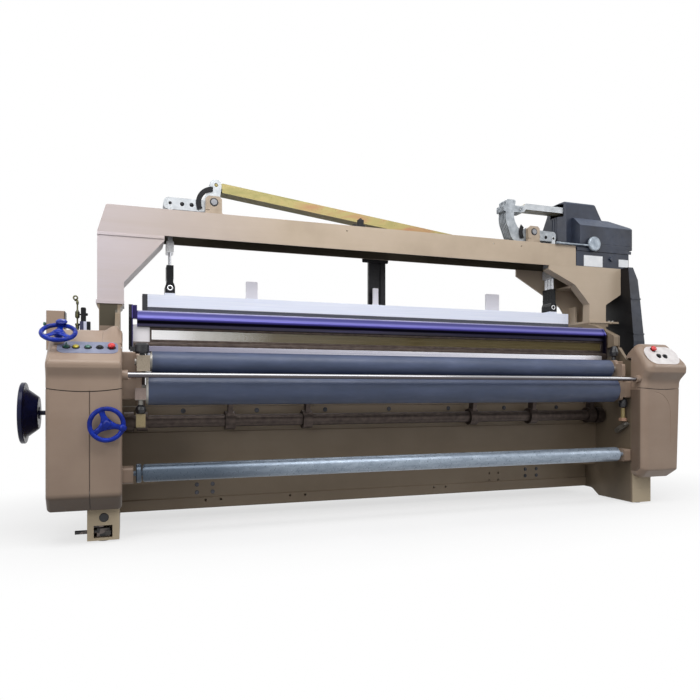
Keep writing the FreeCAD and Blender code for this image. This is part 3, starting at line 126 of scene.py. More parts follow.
class Finish:
    """One material: its shader, its place on the object, and what is laid over it."""

    def __init__(self, name, colour, roughness, metallic=0.0, **sockets):
        self.material = bpy.data.materials.new(name)
        self.material.use_nodes = True
        self.material.diffuse_color = linear(colour)
        self.tree = self.material.node_tree
        self.tree.nodes.clear()
        self.shader = add(self.tree, "ShaderNodeBsdfPrincipled")
        self.output = add(self.tree, "ShaderNodeOutputMaterial", {"Surface": self.shader.outputs[0]})
        self.place = add(self.tree, "ShaderNodeTexCoord").outputs["Object"]
        self.put("Base Color", linear(colour))
        self.put("Roughness", roughness)
        self.put("Metallic", metallic)
        for key, value in sockets.items():
            self.put(key.replace("_", " "), value)

    def put(self, key, value):
        """Sets or links an input of the shader."""
        if isinstance(value, bpy.types.NodeSocket):
            self.tree.links.new(value, self.shader.inputs[key])
        else:
            self.shader.inputs[key].default_value = value

    def marks(self, size_mm, detail=3.0, stretch=None, distortion=0.0):
        """Wandering pattern of a real size, drawn out along the axes where stretched."""
        place = self.place
        if stretch:
            place = add(self.tree, "ShaderNodeMapping", {"Vector": place, "Scale": stretch}).outputs[0]
        return add(self.tree, "ShaderNodeTexNoise", {
            "Vector": place, "Scale": 1000.0 / size_mm, "Detail": detail,
            "Roughness": 0.55, "Distortion": distortion}).outputs["Fac"]

    def mottled(self, size_mm, tones, detail=3.0, stretch=None, distortion=0.0):
        """Tones that wander over the surface in marks of a real size."""
        value = self.marks(size_mm, detail, stretch, distortion)
        return add(self.tree, "ShaderNodeValToRGB", {"Fac": value}, tones).outputs[0]

    def along(self, vector, axis, low, high, tones, steps="LINEAR"):
        """Tones that follow one part of a vector, between two values of it."""
        part = add(self.tree, "ShaderNodeSeparateXYZ", {0: vector}).outputs[axis]
        value = add(self.tree, "ShaderNodeMapRange", {
            "Value": part, "From Min": low, "From Max": high}).outputs[0]
        return add(self.tree, "ShaderNodeValToRGB", {"Fac": value}, tones, steps).outputs[0]

    def graded(self, axis, low_mm, high_mm, tones, steps="LINEAR"):
        """Tones that change along an axis, between two planes of the drawing."""
        offset = SHIFT["XYZ".index(axis)]
        low, high = low_mm * 0.001 + offset, high_mm * 0.001 + offset
        return self.along(self.place, axis, low, high, tones, steps)

    def faced(self, axis, low, high, tones):
        """Tones that change with the way the surface faces."""
        normal = add(self.tree, "ShaderNodeNewGeometry").outputs["Normal"]
        return self.along(normal, axis, low, high, tones)

    def bands(self, axis, planes, tones):
        """Colours that change at planes across an axis, for pieces made of several parts."""
        low, high = planes[0] - 10, planes[-1] + 10
        stops = [(0.0, tones[0])]
        for plane, tone in zip(planes, tones[1:]):
            stops.append(((plane - low) / (high - low), tone))
        return self.graded(axis, low, high, stops, "CONSTANT")

    def over(self, tone, colour, *masks):
        """Lays a colour over a tone where all its masks meet."""
        factor = masks[0]
        for mask in masks[1:]:
            factor = add(self.tree, "ShaderNodeMath", {0: factor, 1: mask}, operation="MULTIPLY").outputs[0]
        first, second = (linear(c) if isinstance(c, str) else c for c in (tone, colour))
        node = add(self.tree, "ShaderNodeMix", {"Factor": factor, 6: first, 7: second}, data_type="RGBA")
        return node.outputs[2]

    def region(self, tone, limits, colour, share):
        """Lays a colour over what lies inside a box of the drawing."""
        inside = [self.bands(axis, planes, [0.0, 1.0, 0.0]) for axis, planes in limits.items()]
        return self.over(tone, colour, *inside, share)

    def speckled(self, tone, size_mm, dark):
        """Darkens a tone in small spots of oil and dust."""
        spots = self.mottled(size_mm, [(0.3, dark), (0.7, 1.0)])
        return add(self.tree, "ShaderNodeMix", {"Factor": 1.0, 6: tone, 7: spots},
                   data_type="RGBA", blend_type="MULTIPLY").outputs[2]

    def cloudy(self, size_mm, dark, light, stretch=None):
        """Base colour that wanders between two tones."""
        tone = self.mottled(size_mm, [(0.3, dark), (0.7, light)], 4.0, stretch)
        self.put("Base Color", tone)
        return tone

    def uneven(self, size_mm, low, high, stretch=None):
        """Roughness that wanders between two values."""
        value = self.marks(size_mm, stretch=stretch)
        self.put("Roughness", add(self.tree, "ShaderNodeMapRange", {
            "Value": value, "From Min": 0.3, "From Max": 0.7,
            "To Min": low, "To Max": high}).outputs[0])

    def relief(self, height_mm, pattern):
        """Surface relief of a real height, on top of any laid before."""
        bump = add(self.tree, "ShaderNodeBump", {
            "Strength": 1.0, "Distance": height_mm * 0.001, "Height": pattern})
        normal = self.shader.inputs["Normal"]
        if normal.is_linked:
            self.tree.links.new(normal.links[0].from_socket, bump.inputs["Normal"])
        self.put("Normal", bump.outputs[0])

    def grain(self, size_mm, height_mm, detail=2.0, stretch=None):
        """Fine relief in marks of a real size."""
        self.relief(height_mm, self.marks(size_mm, detail, stretch))


def sprayed_enamel(name, colour, dark, light, cool_light_cast=None, regions=(), low=None, coat=0.05):
    """Two-pack enamel sprayed on cast iron and pressed steel: an orange peel about 4 mm across, a satin
    gloss, and faint clouds where the coat is thicker. A region is a box of the drawing, its colour and its
    share; regions lay painted shade and painted light on the coat. A painted cast of cool light, and painted
    shade low on the left doors, can be laid on it too."""
    finish = Finish(name, colour, 0.4, Coat_Weight=coat, Coat_Roughness=0.16, Specular_IOR_Level=0.3)
    tone = finish.mottled(420.0, [(0.3, dark), (0.5, colour), (0.72, light)], 5.0)
    if cool_light_cast:
        # Painted light: a cool, rosy cast of light lies over the coat towards the left end of the gantry.
        side = finish.graded("X", -1950, -700, [(0.0, 1.0), (0.35, 0.62), (1.0, 0.0)])
        tone = finish.over(tone, cool_light_cast, side)
    # Long faint streaks, where the sprayed coat was flatted along the work.
    streaks = finish.mottled(30.0, [(0.35, 0.0), (0.75, 0.16)], stretch=(0.05, 1.0, 1.0))
    tone = finish.over(tone, dark, streaks)
    # Regions lay painted shade and painted light over boxes of the drawing.
    for limits, other, share in regions:
        tone = finish.region(tone, limits, other, share)
    if low:
        # Painted shade darkens the left doors where they slope in to the floor.
        side = finish.bands("X", [-2200, -1795], [0.0, 1.0, 0.0])
        floor_shade = finish.graded("Z", 180, 880, [(0.0, 0.85), (0.13, 0.8), (0.17, 0.16), (0.8, 0.0)])
        tone = finish.over(tone, low, side, floor_shade)
    finish.put("Base Color", tone)
    finish.uneven(90.0, 0.36, 0.5)
    finish.grain(4.0, 0.05)
    return finish.material


def wheel_enamel(name, colour, dark, light):
    """Thick glossy enamel on a cast handwheel: deep colour, wet highlights, a soft
    sag in the coat and slight rubbing where hands turn it."""
    finish = Finish(name, colour, 0.3, Coat_Weight=0.12, Coat_Roughness=0.08, Specular_IOR_Level=0.14)
    finish.cloudy(40.0, dark, light)
    finish.uneven(18.0, 0.22, 0.42)
    finish.grain(7.0, 0.12)
    return finish.material


def roller_rubber(name, limit_mm):
    """Slate rubber sleeve on a steel roller: ground finish with fine hoops, bare
    turned steel on the necks beyond the sleeve."""
    finish = Finish(name, "#414C66", 0.46)
    # A hoop every 6 mm, coarser than real grinding marks so that they show.
    hoops = add(finish.tree, "ShaderNodeTexWave", {
        "Vector": finish.place, "Scale": 52.91, "Distortion": 1.5, "Detail": 2.0},
        bands_direction="X").outputs["Fac"]
    short = (1.0, 4.0, 4.0)
    sleeve = finish.mottled(300.0, [(0.3, "#38435C"), (0.52, "#424D68"), (0.72, "#4E5976")], 5.0, short)
    steel = finish.mottled(300.0, [(0.3, "#8F8C86"), (0.7, "#B9B6B0")], 5.0, short)
    ends = [-limit_mm, limit_mm]
    finish.put("Base Color", finish.over(steel, sleeve, finish.bands("X", ends, [0.0, 1.0, 0.0])))
    finish.put("Metallic", finish.bands("X", ends, [0.9, 0.0, 0.9]))
    finish.put("Roughness", finish.mottled(60.0, [(0.3, 0.38), (0.7, 0.52)]))
    finish.relief(0.06, hoops)
    finish.grain(1.6, 0.05)
    return finish.material


def drawn_chrome(name, low=0.08, high=0.2, stretch=(0.02, 1.0, 1.0), oiled=None):
    """Hard chrome on a ground bar: mirror bright, with grinding lines along it, a few dull patches from
    handling, and, between heights where given, painted shade in dark brown on its underside."""
    finish = Finish(name, "#C9CACC", 0.12, 1.0)
    tone = finish.cloudy(30.0, "#A9AAAE", "#CDCED1", stretch)
    # Painted shade: a dark brown band along the underside, between the given heights.
    if oiled:
        under = finish.graded("Z", *oiled, [(0.0, 0.92), (0.45, 0.88), (0.62, 0.3), (0.8, 0.0)])
        finish.put("Base Color", finish.over(tone, "#3B3236", under))
    finish.uneven(45.0, low, high, stretch)
    finish.grain(0.8, 0.01, stretch=stretch)
    return finish.material


def galvanised(name):
    """Hot-dip zinc on the cloth roller: spangle about 14 mm across, dull and bright
    flakes side by side, drawn out a little along the tube."""
    finish = Finish(name, "#98A2AC", 0.3, 0.5)
    tree = finish.tree
    place = add(tree, "ShaderNodeMapping", {"Vector": finish.place, "Scale": (0.45, 1.0, 1.0)}).outputs[0]
    flakes = add(tree, "ShaderNodeTexVoronoi", {"Vector": place, "Scale": 1000.0 / 14.0}).outputs["Color"]
    bright = finish.mottled(24.0, [(0.25, "#7B8796"), (0.5, "#94A1B0"), (0.75, "#AFBBC9")],
                            5.0, (0.25, 1.0, 1.0), 0.6)
    dull = add(tree, "ShaderNodeValToRGB", {"Fac": flakes}, [(0.2, "#818D9B"), (0.8, "#9CA8B6")]).outputs[0]
    tone = finish.over(bright, dull, 0.45)
    # Painted shade darkens the zinc towards the left end.
    end = finish.graded("X", -1700, -300, [(0.0, 0.95), (0.3, 0.88), (0.6, 0.3), (1.0, 0.0)])
    finish.put("Base Color", finish.over(tone, "#3F4B59", end))
    finish.uneven(14.0, 0.24, 0.42)
    finish.relief(0.02, flakes)
    return finish.material


def rolled_strip(name, dark, middle, light, rough=0.3, left_shade=None, bare=None):
    """Cold rolled strip, in bright tones, or in brown tones that are a painted reflection: rolling lines
    along X, and a satin sheen that shows brighter where the light runs along the strip."""
    finish = Finish(name, middle, rough, 0.75)
    tone = finish.mottled(2.5, [(0.3, dark), (0.5, middle), (0.7, light)], 2.0, DIE_LINES)
    if left_shade:
        # Painted shade darkens the strip towards the left end of the loom.
        end = finish.graded("X", -1700, 1700, [(0.0, 0.9), (0.45, 0.45), (0.9, 0.0)])
        tone = finish.over(tone, left_shade, end)
    if bare:
        # Painted reflection: the left end is bright and mirrors more; elsewhere the oiled metal hardly
        # mirrors.
        end = finish.graded("X", -1650, -1350, [(0.0, 1.0), (0.5, 0.9), (1.0, 0.0)])
        tone = finish.over(tone, bare, end)
        finish.put("Metallic", finish.graded("X", -1650, -1350, [(0.0, 0.75), (0.5, 0.705), (1.0, 0.3)]))
    finish.put("Base Color", tone)
    finish.uneven(3.0, rough - 0.08, rough + 0.1, WORN)
    finish.grain(1.5, 0.02, stretch=DIE_LINES)
    return finish.material


def reed_cap_metal(name):
    """Violet anodised reed cap with die lines, in painted light and shade by height: a painted highlight
    along the top, lit violet below it, and painted shade, nearly black, in the groove along its foot; black
    cast brackets at both ends."""
    finish = Finish(name, "#4F4D8E", 0.34, 0.55, Specular_IOR_Level=0.2)
    # Painted light and shade by height: nearly black painted shade at the foot, lit violet above it and a
    # painted highlight near the top.
    violet = finish.graded("Z", *CAP_FACE, [
        (0.0, "#0E0B0E"), (0.36, "#120F1C"), (0.43, "#2C276C"), (0.53, "#6663AE"),
        (0.62, "#7775B8"), (0.72, "#4B4A86"), (0.86, "#46457C"), (0.95, "#A9A7D4")])
    lines = finish.mottled(2.5, [(0.4, 0.0), (0.8, 0.35)], 2.0, DIE_LINES)
    tone = finish.over(violet, "#2C2860", lines)
    brackets = finish.bands("X", [-1756, -1723, 1745], ["#141316", "#2B2455", "#000000", "#3B302A"])
    ends = finish.bands("X", [-1723, 1745], [1.0, 0.0, 1.0])
    finish.put("Base Color", finish.over(tone, brackets, ends))
    finish.uneven(3.0, 0.28, 0.44, WORN)
    finish.grain(1.5, 0.02, stretch=DIE_LINES)
    return finish.material


def heald_profile(name):
    """White satin anodised heald shafts: pale lilac upper rail with a grey band along
    its foot, so the rail reads as two profiles clipped together, grey lugs on top and
    dark end pieces."""
    finish = Finish(name, "#DDE2F3", 0.42, 0.1)
    white = finish.mottled(2.5, [(0.3, "#DCE2F5"), (0.7, "#EDF1FC")], 2.0, DIE_LINES)
    grey = finish.mottled(2.5, [(0.3, "#3B3D48"), (0.7, "#565966")], 2.0, DIE_LINES)
    tone = finish.over(white, grey, finish.bands("Z", [1379, 1406], [0.0, 1.0, 0.0]))
    lugs = finish.bands("Z", [1506, 1600], [0.0, 1.0, 1.0])
    tone = finish.over(tone, "#CFCDD4", lugs)
    ends = finish.bands("X", [-1655, 1673], [1.0, 0.0, 1.0])
    finish.put("Base Color", finish.over(tone, "#26272D", ends))
    finish.uneven(20.0, 0.34, 0.52, (0.05, 1.0, 1.0))
    finish.grain(1.5, 0.02, stretch=DIE_LINES)
    return finish.material


def machined_steel(name, colour="#9C9A96", dark="#7C7A77", light="#BDBBB6", low=0.26, high=0.42):
    """Turned or milled steel, lightly oiled: grey metal with fine tool marks and
    darker patches of oil."""
    finish = Finish(name, colour, 0.32, 0.9)
    finish.cloudy(35.0, dark, light)
    finish.uneven(12.0, low, high)
    finish.grain(0.9, 0.02)
    return finish.material


def plated_lever(name, colour="#B4B8BC", dark="#A6ABB0", light="#C0C4C8"):
    """Zinc plate on lever stampings and forgings: pale bluish white metal with a soft
    spangle."""
    finish = Finish(name, colour, 0.4, 0.3)
    finish.cloudy(45.0, dark, light)
    finish.uneven(9.0, 0.32, 0.52)
    finish.grain(2.2, 0.03)
    return finish.material


def passivated(name):
    """Yellow chromate over zinc on the link bars: straw metal with green and rose
    clouds drawn out along the bar."""
    finish = Finish(name, "#9F9A68", 0.4, 0.3)
    hue = finish.mottled(120.0, [(0.28, "#66784A"), (0.42, "#8C8650"), (0.56, "#A2955F"), (0.7, "#A27455")],
                         4.0, (0.35, 1.0, 1.0), 0.8)
    # Painted shade: faces that look down are dark olive.
    under = finish.faced("Z", -1.0, 0.0, [(0.3, 0.85), (0.6, 0.0)])
    finish.put("Base Color", finish.over(hue, "#4A4A2A", under))
    finish.uneven(15.0, 0.26, 0.44)
    finish.grain(2.0, 0.02)
    return finish.material


def textured_housing(name, dark, middle, light, inner=None):
    """Sheet steel housing in dark slate texture powder coat: pebble about 2 mm across, satin, with painted
    light where it faces up and, where given, painted shade on its left-facing side."""
    finish = Finish(name, middle, 0.46, Specular_IOR_Level=0.3)
    tone = finish.cloudy(180.0, dark, light)
    # Painted light: faces that look up are lighter.
    tone = finish.over(tone, "#6A7488", finish.faced("Z", 0.0, 1.0, [(0.1, 0.0), (0.5, 0.45)]))
    if inner:
        # Painted shade: faces that look left, on the side next to the frame, are nearly black.
        tone = finish.over(tone, inner, finish.faced("X", -0.9, -0.7, [(0.0, 1.0), (1.0, 0.0)]))
    finish.put("Base Color", tone)
    finish.uneven(30.0, 0.34, 0.5)
    finish.grain(2.0, 0.09, 3.0)
    return finish.material


def moulded(name, colour, dark, light, rough=0.3, grain=0.02, coat=0.3, level=0.5):
    """Injection moulded plastic: even colour with faint flow clouds and a fine spark
    eroded grain, polished here and there by touch."""
    finish = Finish(name, colour, rough, Coat_Weight=coat, Coat_Roughness=0.1, Specular_IOR_Level=level)
    finish.cloudy(14.0, dark, light)
    finish.uneven(8.0, rough - 0.1, rough + 0.1)
    finish.grain(0.8, grain)
    return finish.material


def black_enamel(name):
    """Black air-dried paint on forged and welded brackets: deep and faintly clouded,
    with the sag of a brushed coat."""
    finish = Finish(name, "#17171A", 0.4, Specular_IOR_Level=0.25)
    finish.cloudy(35.0, "#0C0C0F", "#1C1B1F")
    finish.uneven(25.0, 0.3, 0.52)
    finish.grain(5.0, 0.08)
    return finish.material


def printed_plate(name, colour, dark, light, rough=0.42):
    """Printed polyester face of a control plate: smooth, faintly mottled ink under a
    satin face. The legend areas are plain."""
    finish = Finish(name, colour, rough)
    finish.cloudy(60.0, dark, light)
    finish.uneven(25.0, rough - 0.08, rough + 0.08)
    finish.grain(0.6, 0.01)
    return finish.material


def adjuster_metal(name):
    """Roller stops: black knobs and balls, beige brackets, a brass screw and a
    coppery nut, told apart by their heights on either side of the machine."""
    finish = Finish(name, "#2A2A2C", 0.4)
    left = finish.bands("Z", [718, 771, 800, 869, 960, 1052], [
        "#9A8A66", "#141418", "#8E8B84", "#A08E86", "#141418", "#A39684", "#17171C"])
    right = finish.bands("Z", [646, 722, 800, 1078], ["#B08A72", "#9C8C5E", "#1B1B20", "#A39684", "#17171C"])
    tone = finish.over(left, right, finish.bands("X", [0, 10], [0.0, 1.0, 1.0]))
    finish.put("Base Color", finish.speckled(tone, 9.0, 0.82))
    finish.uneven(10.0, 0.22, 0.45)
    finish.grain(1.5, 0.03)
    return finish.material


def tie_rod_metal(name):
    """Tie rods: plated strap and clevis on top, a polished rod, a black moulded
    sleeve over the lock nut and a dark ball joint at the foot."""
    finish = Finish(name, "#8A8A8E", 0.3, 0.4, Specular_IOR_Level=0.2)
    tone = finish.bands("Z", [1606, 1690, 1776, 1860, 1930], [
        "#141519", "#0D0E11", "#C9CBD0", "#F0F1F3", "#E4E6E9", "#C4C8CC"])
    finish.put("Base Color", finish.speckled(tone, 14.0, 0.84))
    finish.put("Metallic", finish.bands("Z", [1570, 1690, 1776], [0.0, 0.0, 0.95, 0.4]))
    finish.uneven(9.0, 0.22, 0.42)
    finish.grain(1.8, 0.03)
    return finish.material


def bearing_metal(name):
    """Beige cast bearing blocks, in which the fixed crank shafts show as bright turned
    ends of 41 mm in a dark ring of 58 mm."""
    finish = Finish(name, "#A39381", 0.38)
    tree = finish.tree
    clouds = finish.mottled(60.0, [(0.3, "#9A8A77"), (0.7, "#AD9D8B")])
    place = add(tree, "ShaderNodeMapping", {"Vector": finish.place, "Scale": (1.0, 0.0, 1.0)}).outputs[0]
    away = 1.0
    for x, z in SHAFTS.values():
        centre = at(x, 0, z)
        spot = add(tree, "ShaderNodeVectorMath", {0: place, 1: (centre.x, 0.0, centre.z)},
                   operation="DISTANCE").outputs["Value"]
        away = add(tree, "ShaderNodeMath", {0: spot, 1: away}, operation="MINIMUM").outputs[0]
    ring, shaft = (add(tree, "ShaderNodeMath", {0: away, 1: reach}, operation="LESS_THAN").outputs[0]
                   for reach in (0.0290, 0.0204))
    tone = finish.over(clouds, "#1D1C1D", ring)
    finish.put("Base Color", finish.over(tone, "#808185", shaft))
    finish.put("Metallic", shaft)
    finish.uneven(25.0, 0.24, 0.42)
    finish.grain(3.5, 0.06)
    return finish.material


def guide_metal(name):
    """Weft guides: olive chromated post and eye, black sensor, and a block of slate
    enamel whose bare corner is bright."""
    finish = Finish(name, "#4C4B38", 0.36, 0.4, Specular_IOR_Level=0.3)
    post = finish.mottled(20.0, [(0.3, "#30352A"), (0.7, "#6E6B49")])
    block = finish.bands("X", [-2036, -2018], ["#3F415A", "#C9CCDE", "#141417"])
    unit = finish.over(block, "#121215", finish.bands("Z", [1286, 1400], [0.0, 1.0, 1.0]))
    right = finish.bands("X", [-2068, -2000], [0.0, 1.0, 1.0])
    finish.put("Base Color", finish.over(post, unit, right))
    finish.uneven(10.0, 0.28, 0.45)
    finish.grain(1.5, 0.03)
    return finish.material


def valve_metal(name):
    """Foot valve: black plug and rod, dull blocks with a rosy and a steel part."""
    finish = Finish(name, "#2B2A2B", 0.42)
    blocks = add(finish.tree, "ShaderNodeTexVoronoi", {
        "Vector": finish.place, "Scale": 1000.0 / 26.0}).outputs["Color"]
    tone = add(finish.tree, "ShaderNodeValToRGB", {"Fac": blocks}, [
        (0.35, "#1C1B1C"), (0.55, "#4A4542"), (0.72, "#8B7F7A")]).outputs[0]
    deep = finish.graded("Y", -6, 6, [(0.3, 0.0), (0.9, 1.0)])
    finish.put("Base Color", finish.over("#141416", tone, deep))
    finish.uneven(9.0, 0.3, 0.5)
    finish.grain(1.5, 0.04)
    return finish.material


def make_enamels(colours):
    """Satin beige enamel: one paint in lit and shaded copies, where painted shade makes it darker on the
    castings and covers than on the gantry; and gloss blue on the wheels."""
    # The stool under the gantry is hollow; painted shade darkens its open front, with a rosy mid tone below
    # it. The fronts of the feet carry painted light, and the right side frame carries painted shade between x
    # 1815 and 1824.
    MATERIALS["casting"] = sprayed_enamel(
        "Sprayed enamel, castings", colours.casting, "#837462", "#918270", regions=(
            ({"X": (-1943, -1837), "Y": (446, 470), "Z": (1262, 1399)}, "#3F3A2C", 0.92),
            ({"X": (-1943, -1837), "Y": (446, 470), "Z": (1195, 1262)}, "#8D7B70", 0.5),
            # Painted light: the front faces of the feet are lighter.
            ({"Y": (-5, 4), "Z": (-10, 230)}, "#C9B99E", 0.9),
            # Painted shade on the right side frame between x 1815 and 1824.
            ({"X": (1815, 1824), "Y": (20, 900)}, "#4F4537", 0.55)))
    # The covers carry painted shade low on the left doors.
    MATERIALS["cover"] = sprayed_enamel(
        "Sprayed enamel, covers", colours.cover, "#957F6E", "#A69180", low="#3C2E22", coat=0.22, regions=(
            # Painted shade on the right cover's side that faces left.
            ({"X": (1800, 1808), "Z": (250, 860)}, "#3F342A", 0.6),))
    # The gantry, like the beam, takes the painted cool, rosy cast of light at its left end.
    MATERIALS["gantry"] = sprayed_enamel(
        "Sprayed enamel, gantry", colours.gantry, "#B3A28E", "#BFAE9B", "#CBC1C5")
    # The beam is open underneath; painted shade darkens its inside, and its left end takes the painted cool,
    # rosy cast of light.
    MATERIALS["channel"] = sprayed_enamel(
        "Sprayed enamel, beam", colours.gantry, "#AE9D89", "#C0AF9C", "#C3B8B8", regions=(
            ({"X": (-1951, 1660), "Y": (462, 709), "Z": (1858, 2023)}, "#4A4336", 1.0),))
    MATERIALS["wheel"] = wheel_enamel("Gloss enamel, handwheels", colours.wheel, "#05196B", "#0A34B4")
    MATERIALS["dish"] = wheel_enamel("Gloss enamel, drive handwheel", colours.dish, "#070A24", "#0F1540")


def make_materials():
    make_enamels(bpy.context.scene.loom_colours)
    MATERIALS.update({
        "press": roller_rubber("Ground rubber, press roller", 1645),
        "takeup": roller_rubber("Ground rubber, take-up roller", 1667),
        "cloth": galvanised("Hot-dip zinc, cloth roller"),
        # The front rail carries painted shade on its underside.
        "rail": drawn_chrome("Hard chrome, front rail", oiled=(920, 960)),
        "chrome": drawn_chrome("Hard chrome, ground bar"),
        "bright": drawn_chrome("Bright chrome, small parts", 0.1, 0.24, (1, 1, 1)),
        "purple": reed_cap_metal("Violet anodised extrusion"),
        "white": heald_profile("White anodised heald shafts"),
        # The reed's brown tones are a painted reflection, and so is its bright left end.
        "reed": rolled_strip("Rolled reed steel", "#5A4D2E", "#766840", "#978862", 0.46, bare="#D8D5D8"),
        # The sley strip carries painted shade towards its left end, and its near-white tones are in part a
        # painted highlight.
        "strip": rolled_strip("Bright rolled strip", "#D3D2E0", "#F1F1F8", "#FFFFFF", left_shade="#75728A"),
        "steel": machined_steel("Machined steel"),
        "dark_steel": machined_steel("Blackened steel", "#3A3A3D", "#29292C", "#55555A", 0.3, 0.5),
        "sley": machined_steel("Sley casting, brown enamel", "#4A413D", "#3F3734", "#554B46", 0.4, 0.55),
        "beam": machined_steel("Cast beam flanges", "#9EA1A5", "#84878B", "#B7BABD", 0.34, 0.52),
        "lever": plated_lever("Zinc plated levers"),
        "forged": plated_lever("Zinc plated forgings", "#979DA3", "#7F858B", "#AEB4BA"),
        "mottled": plated_lever("Mottled cast disc", "#8F99A4", "#6E7985", "#AEB8C2"),
        "link": passivated("Yellow chromate link bars"),
        # Both housings carry painted light on faces that look up.
        "slate": textured_housing("Texture powder coat, slate", "#20242F", "#272C3A", "#313848"),
        # The column's left-facing side carries painted shade.
        "column": textured_housing("Texture powder coat, column", "#23262F", "#2A2E39", "#343946", "#0E0E11"),
        "black": black_enamel("Black air-dried paint"),
        "plastic": moulded("Black phenolic moulding", "#111114", "#0B0B0E", "#19191D", 0.38, 0.03, 0.0, 0.2),
        "red": moulded("Red switch moulding", "#D8262B", "#B81A20", "#E63A3A"),
        "green": moulded("Green switch moulding", "#0F5C4B", "#0A463A", "#17705C"),
        "yellow": moulded("Yellow switch moulding", "#D9C521", "#BFAA14", "#E8D83E"),
        "blue_plate": printed_plate("Slate blue key film", "#7E839C", "#737892", "#8C91A8"),
        "white_plate": printed_plate("White key film", "#E8E3E2", "#DAD4D4", "#F2EEED"),
        "label": printed_plate("Blank white label", "#E2E4E8", "#D8DBE0", "#EAECEF", 0.5),
        "bearing": bearing_metal("Cast bearing blocks"),
        "adjuster": adjuster_metal("Roller stops"),
        "tie": tie_rod_metal("Tie rods"),
        "valve": valve_metal("Foot valve"),
        "guide": guide_metal("Weft guides"),
    })


def dress(material, *names):
    """Gives solid nodes their material through their own slots."""
    for name in names:
        node = NODES[name]
        if not node.material_slots:
            node.data.materials.append(None)
        for entry in node.material_slots:
            entry.link = "OBJECT"
            entry.material = MATERIALS[material]


# ------------------------------------------------------------------ mesh pieces
class Form:
    """A mesh under construction, in metres of the shared frame."""

    def __init__(self, *materials):
        self.mesh = bmesh.new()
        self.materials = [MATERIALS[name] for name in materials]

    def faces(self, points, rings, kind=0, smooth=False):
        """Adds points and the faces between them, in one of the form's materials."""
        verts = [self.mesh.verts.new(p) for p in points]
        for ring in rings:
            made = self.mesh.faces.new([verts[i] for i in ring])
            made.material_index = kind
            made.smooth = smooth

    def turned(self, centre, axis, profile, steps, kind=0):
        """Solid of revolution; profile is (along, radius) in millimetres."""
        side = axis.orthogonal().normalized()
        up = axis.cross(side)
        points, rings, rows = [], [], []
        for along, radius in profile:
            middle = centre + axis * along * 0.001
            if radius <= 0:
                rows.append([len(points)])
                points.append(middle)
                continue
            rows.append(list(range(len(points), len(points) + steps)))
            for k in range(steps):
                t = 2 * math.pi * k / steps
                points.append(middle + (side * math.cos(t) + up * math.sin(t)) * radius * 0.001)
        closed = len(rows[0]) > 1 and len(rows[-1]) > 1
        pairs = list(zip(rows, rows[1:])) + ([(rows[-1], rows[0])] if closed else [])
        for a, b in pairs:
            for k in range(steps):
                n = (k + 1) % steps
                ring = [a[k % len(a)], a[n % len(a)], b[n % len(b)], b[k % len(b)]]
                ring = list(dict.fromkeys(ring))
                if len(ring) > 2:
                    rings.append(ring)
        self.faces(points, rings, kind, True)

    def slab(self, outline, centre, across, up, depth, kind=0):
        """Plate with an outline in millimetres, standing depth proud of its centre."""
        out = across.cross(up)
        n = len(outline)
        points = [centre + (across * u + up * v + out * level) * 0.001
                  for level in (0.0, depth) for u, v in outline]
        rings = [list(range(n))[::-1], list(range(n, 2 * n))]
        rings += [[k, (k + 1) % n, n + (k + 1) % n, n + k] for k in range(n)]
        self.faces(points, rings, kind)

    def strip(self, stations, half, thick):
        """Flat band let into a surface; stations are (point, outward, sideways)."""
        points, rings = [], []
        for p, out, side in stations:
            for a, b in ((1, 0), (-1, 0), (-1, -1), (1, -1)):
                points.append(p + (side * half * a + out * thick * b) * 0.001)
        n = len(stations)
        for k in range(n - 1):
            for j in range(4):
                i = (j + 1) % 4
                rings.append([4 * k + j, 4 * k + i, 4 * k + 4 + i, 4 * k + 4 + j])
        rings += [[0, 1, 2, 3], [4 * n - 1, 4 * n - 2, 4 * n - 3, 4 * n - 4]]
        self.faces(points, rings)

    def finish(self, name, body, slot, bevel_mm=0.0):
        """Turns the faces outwards and makes the mesh a piece that rides a body."""
        bmesh.ops.recalc_face_normals(self.mesh, faces=self.mesh.faces)
        data = bpy.data.meshes.new(name)
        self.mesh.to_mesh(data)
        self.mesh.free()
        for material in self.materials:
            data.materials.append(material)
        piece = bpy.data.objects.new(name, data)
        bpy.context.scene.collection.objects.link(piece)
        if bevel_mm:
            modifier = piece.modifiers.new("Eased edges", "BEVEL")
            modifier.width = bevel_mm * 0.001
            modifier.segments = 2
            modifier.limit_method = "ANGLE"
            modifier.angle_limit = math.radians(35)
        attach(piece, body)
        return piece


def rounded(width, height, radius):
    """Outline of a plate with rounded corners, about its centre."""
    out, steps = [], 6
    for cx, cy, start in ((1, 1, 0), (-1, 1, 90), (-1, -1, 180), (1, -1, 270)):
        for k in range(steps + 1):
            t = math.radians(start + 90 * k / steps)
            out.append((cx * (width / 2 - radius) + radius * math.cos(t),
                        cy * (height / 2 - radius) + radius * math.sin(t)))
    return out


def on_face(x, y, face):
    """Point and outward direction on a sloping control face."""
    foot_y, foot_z, slope = face
    tilt = math.radians(slope)
    point = at(x, y, foot_z + (y - foot_y) * math.tan(tilt))
    return point, Vector((0, -math.sin(tilt), math.cos(tilt)))


def eased(share):
    """Smooth step from 0 to 1."""
    return 0.5 - 0.5 * math.cos(math.pi * min(share, 1.0))


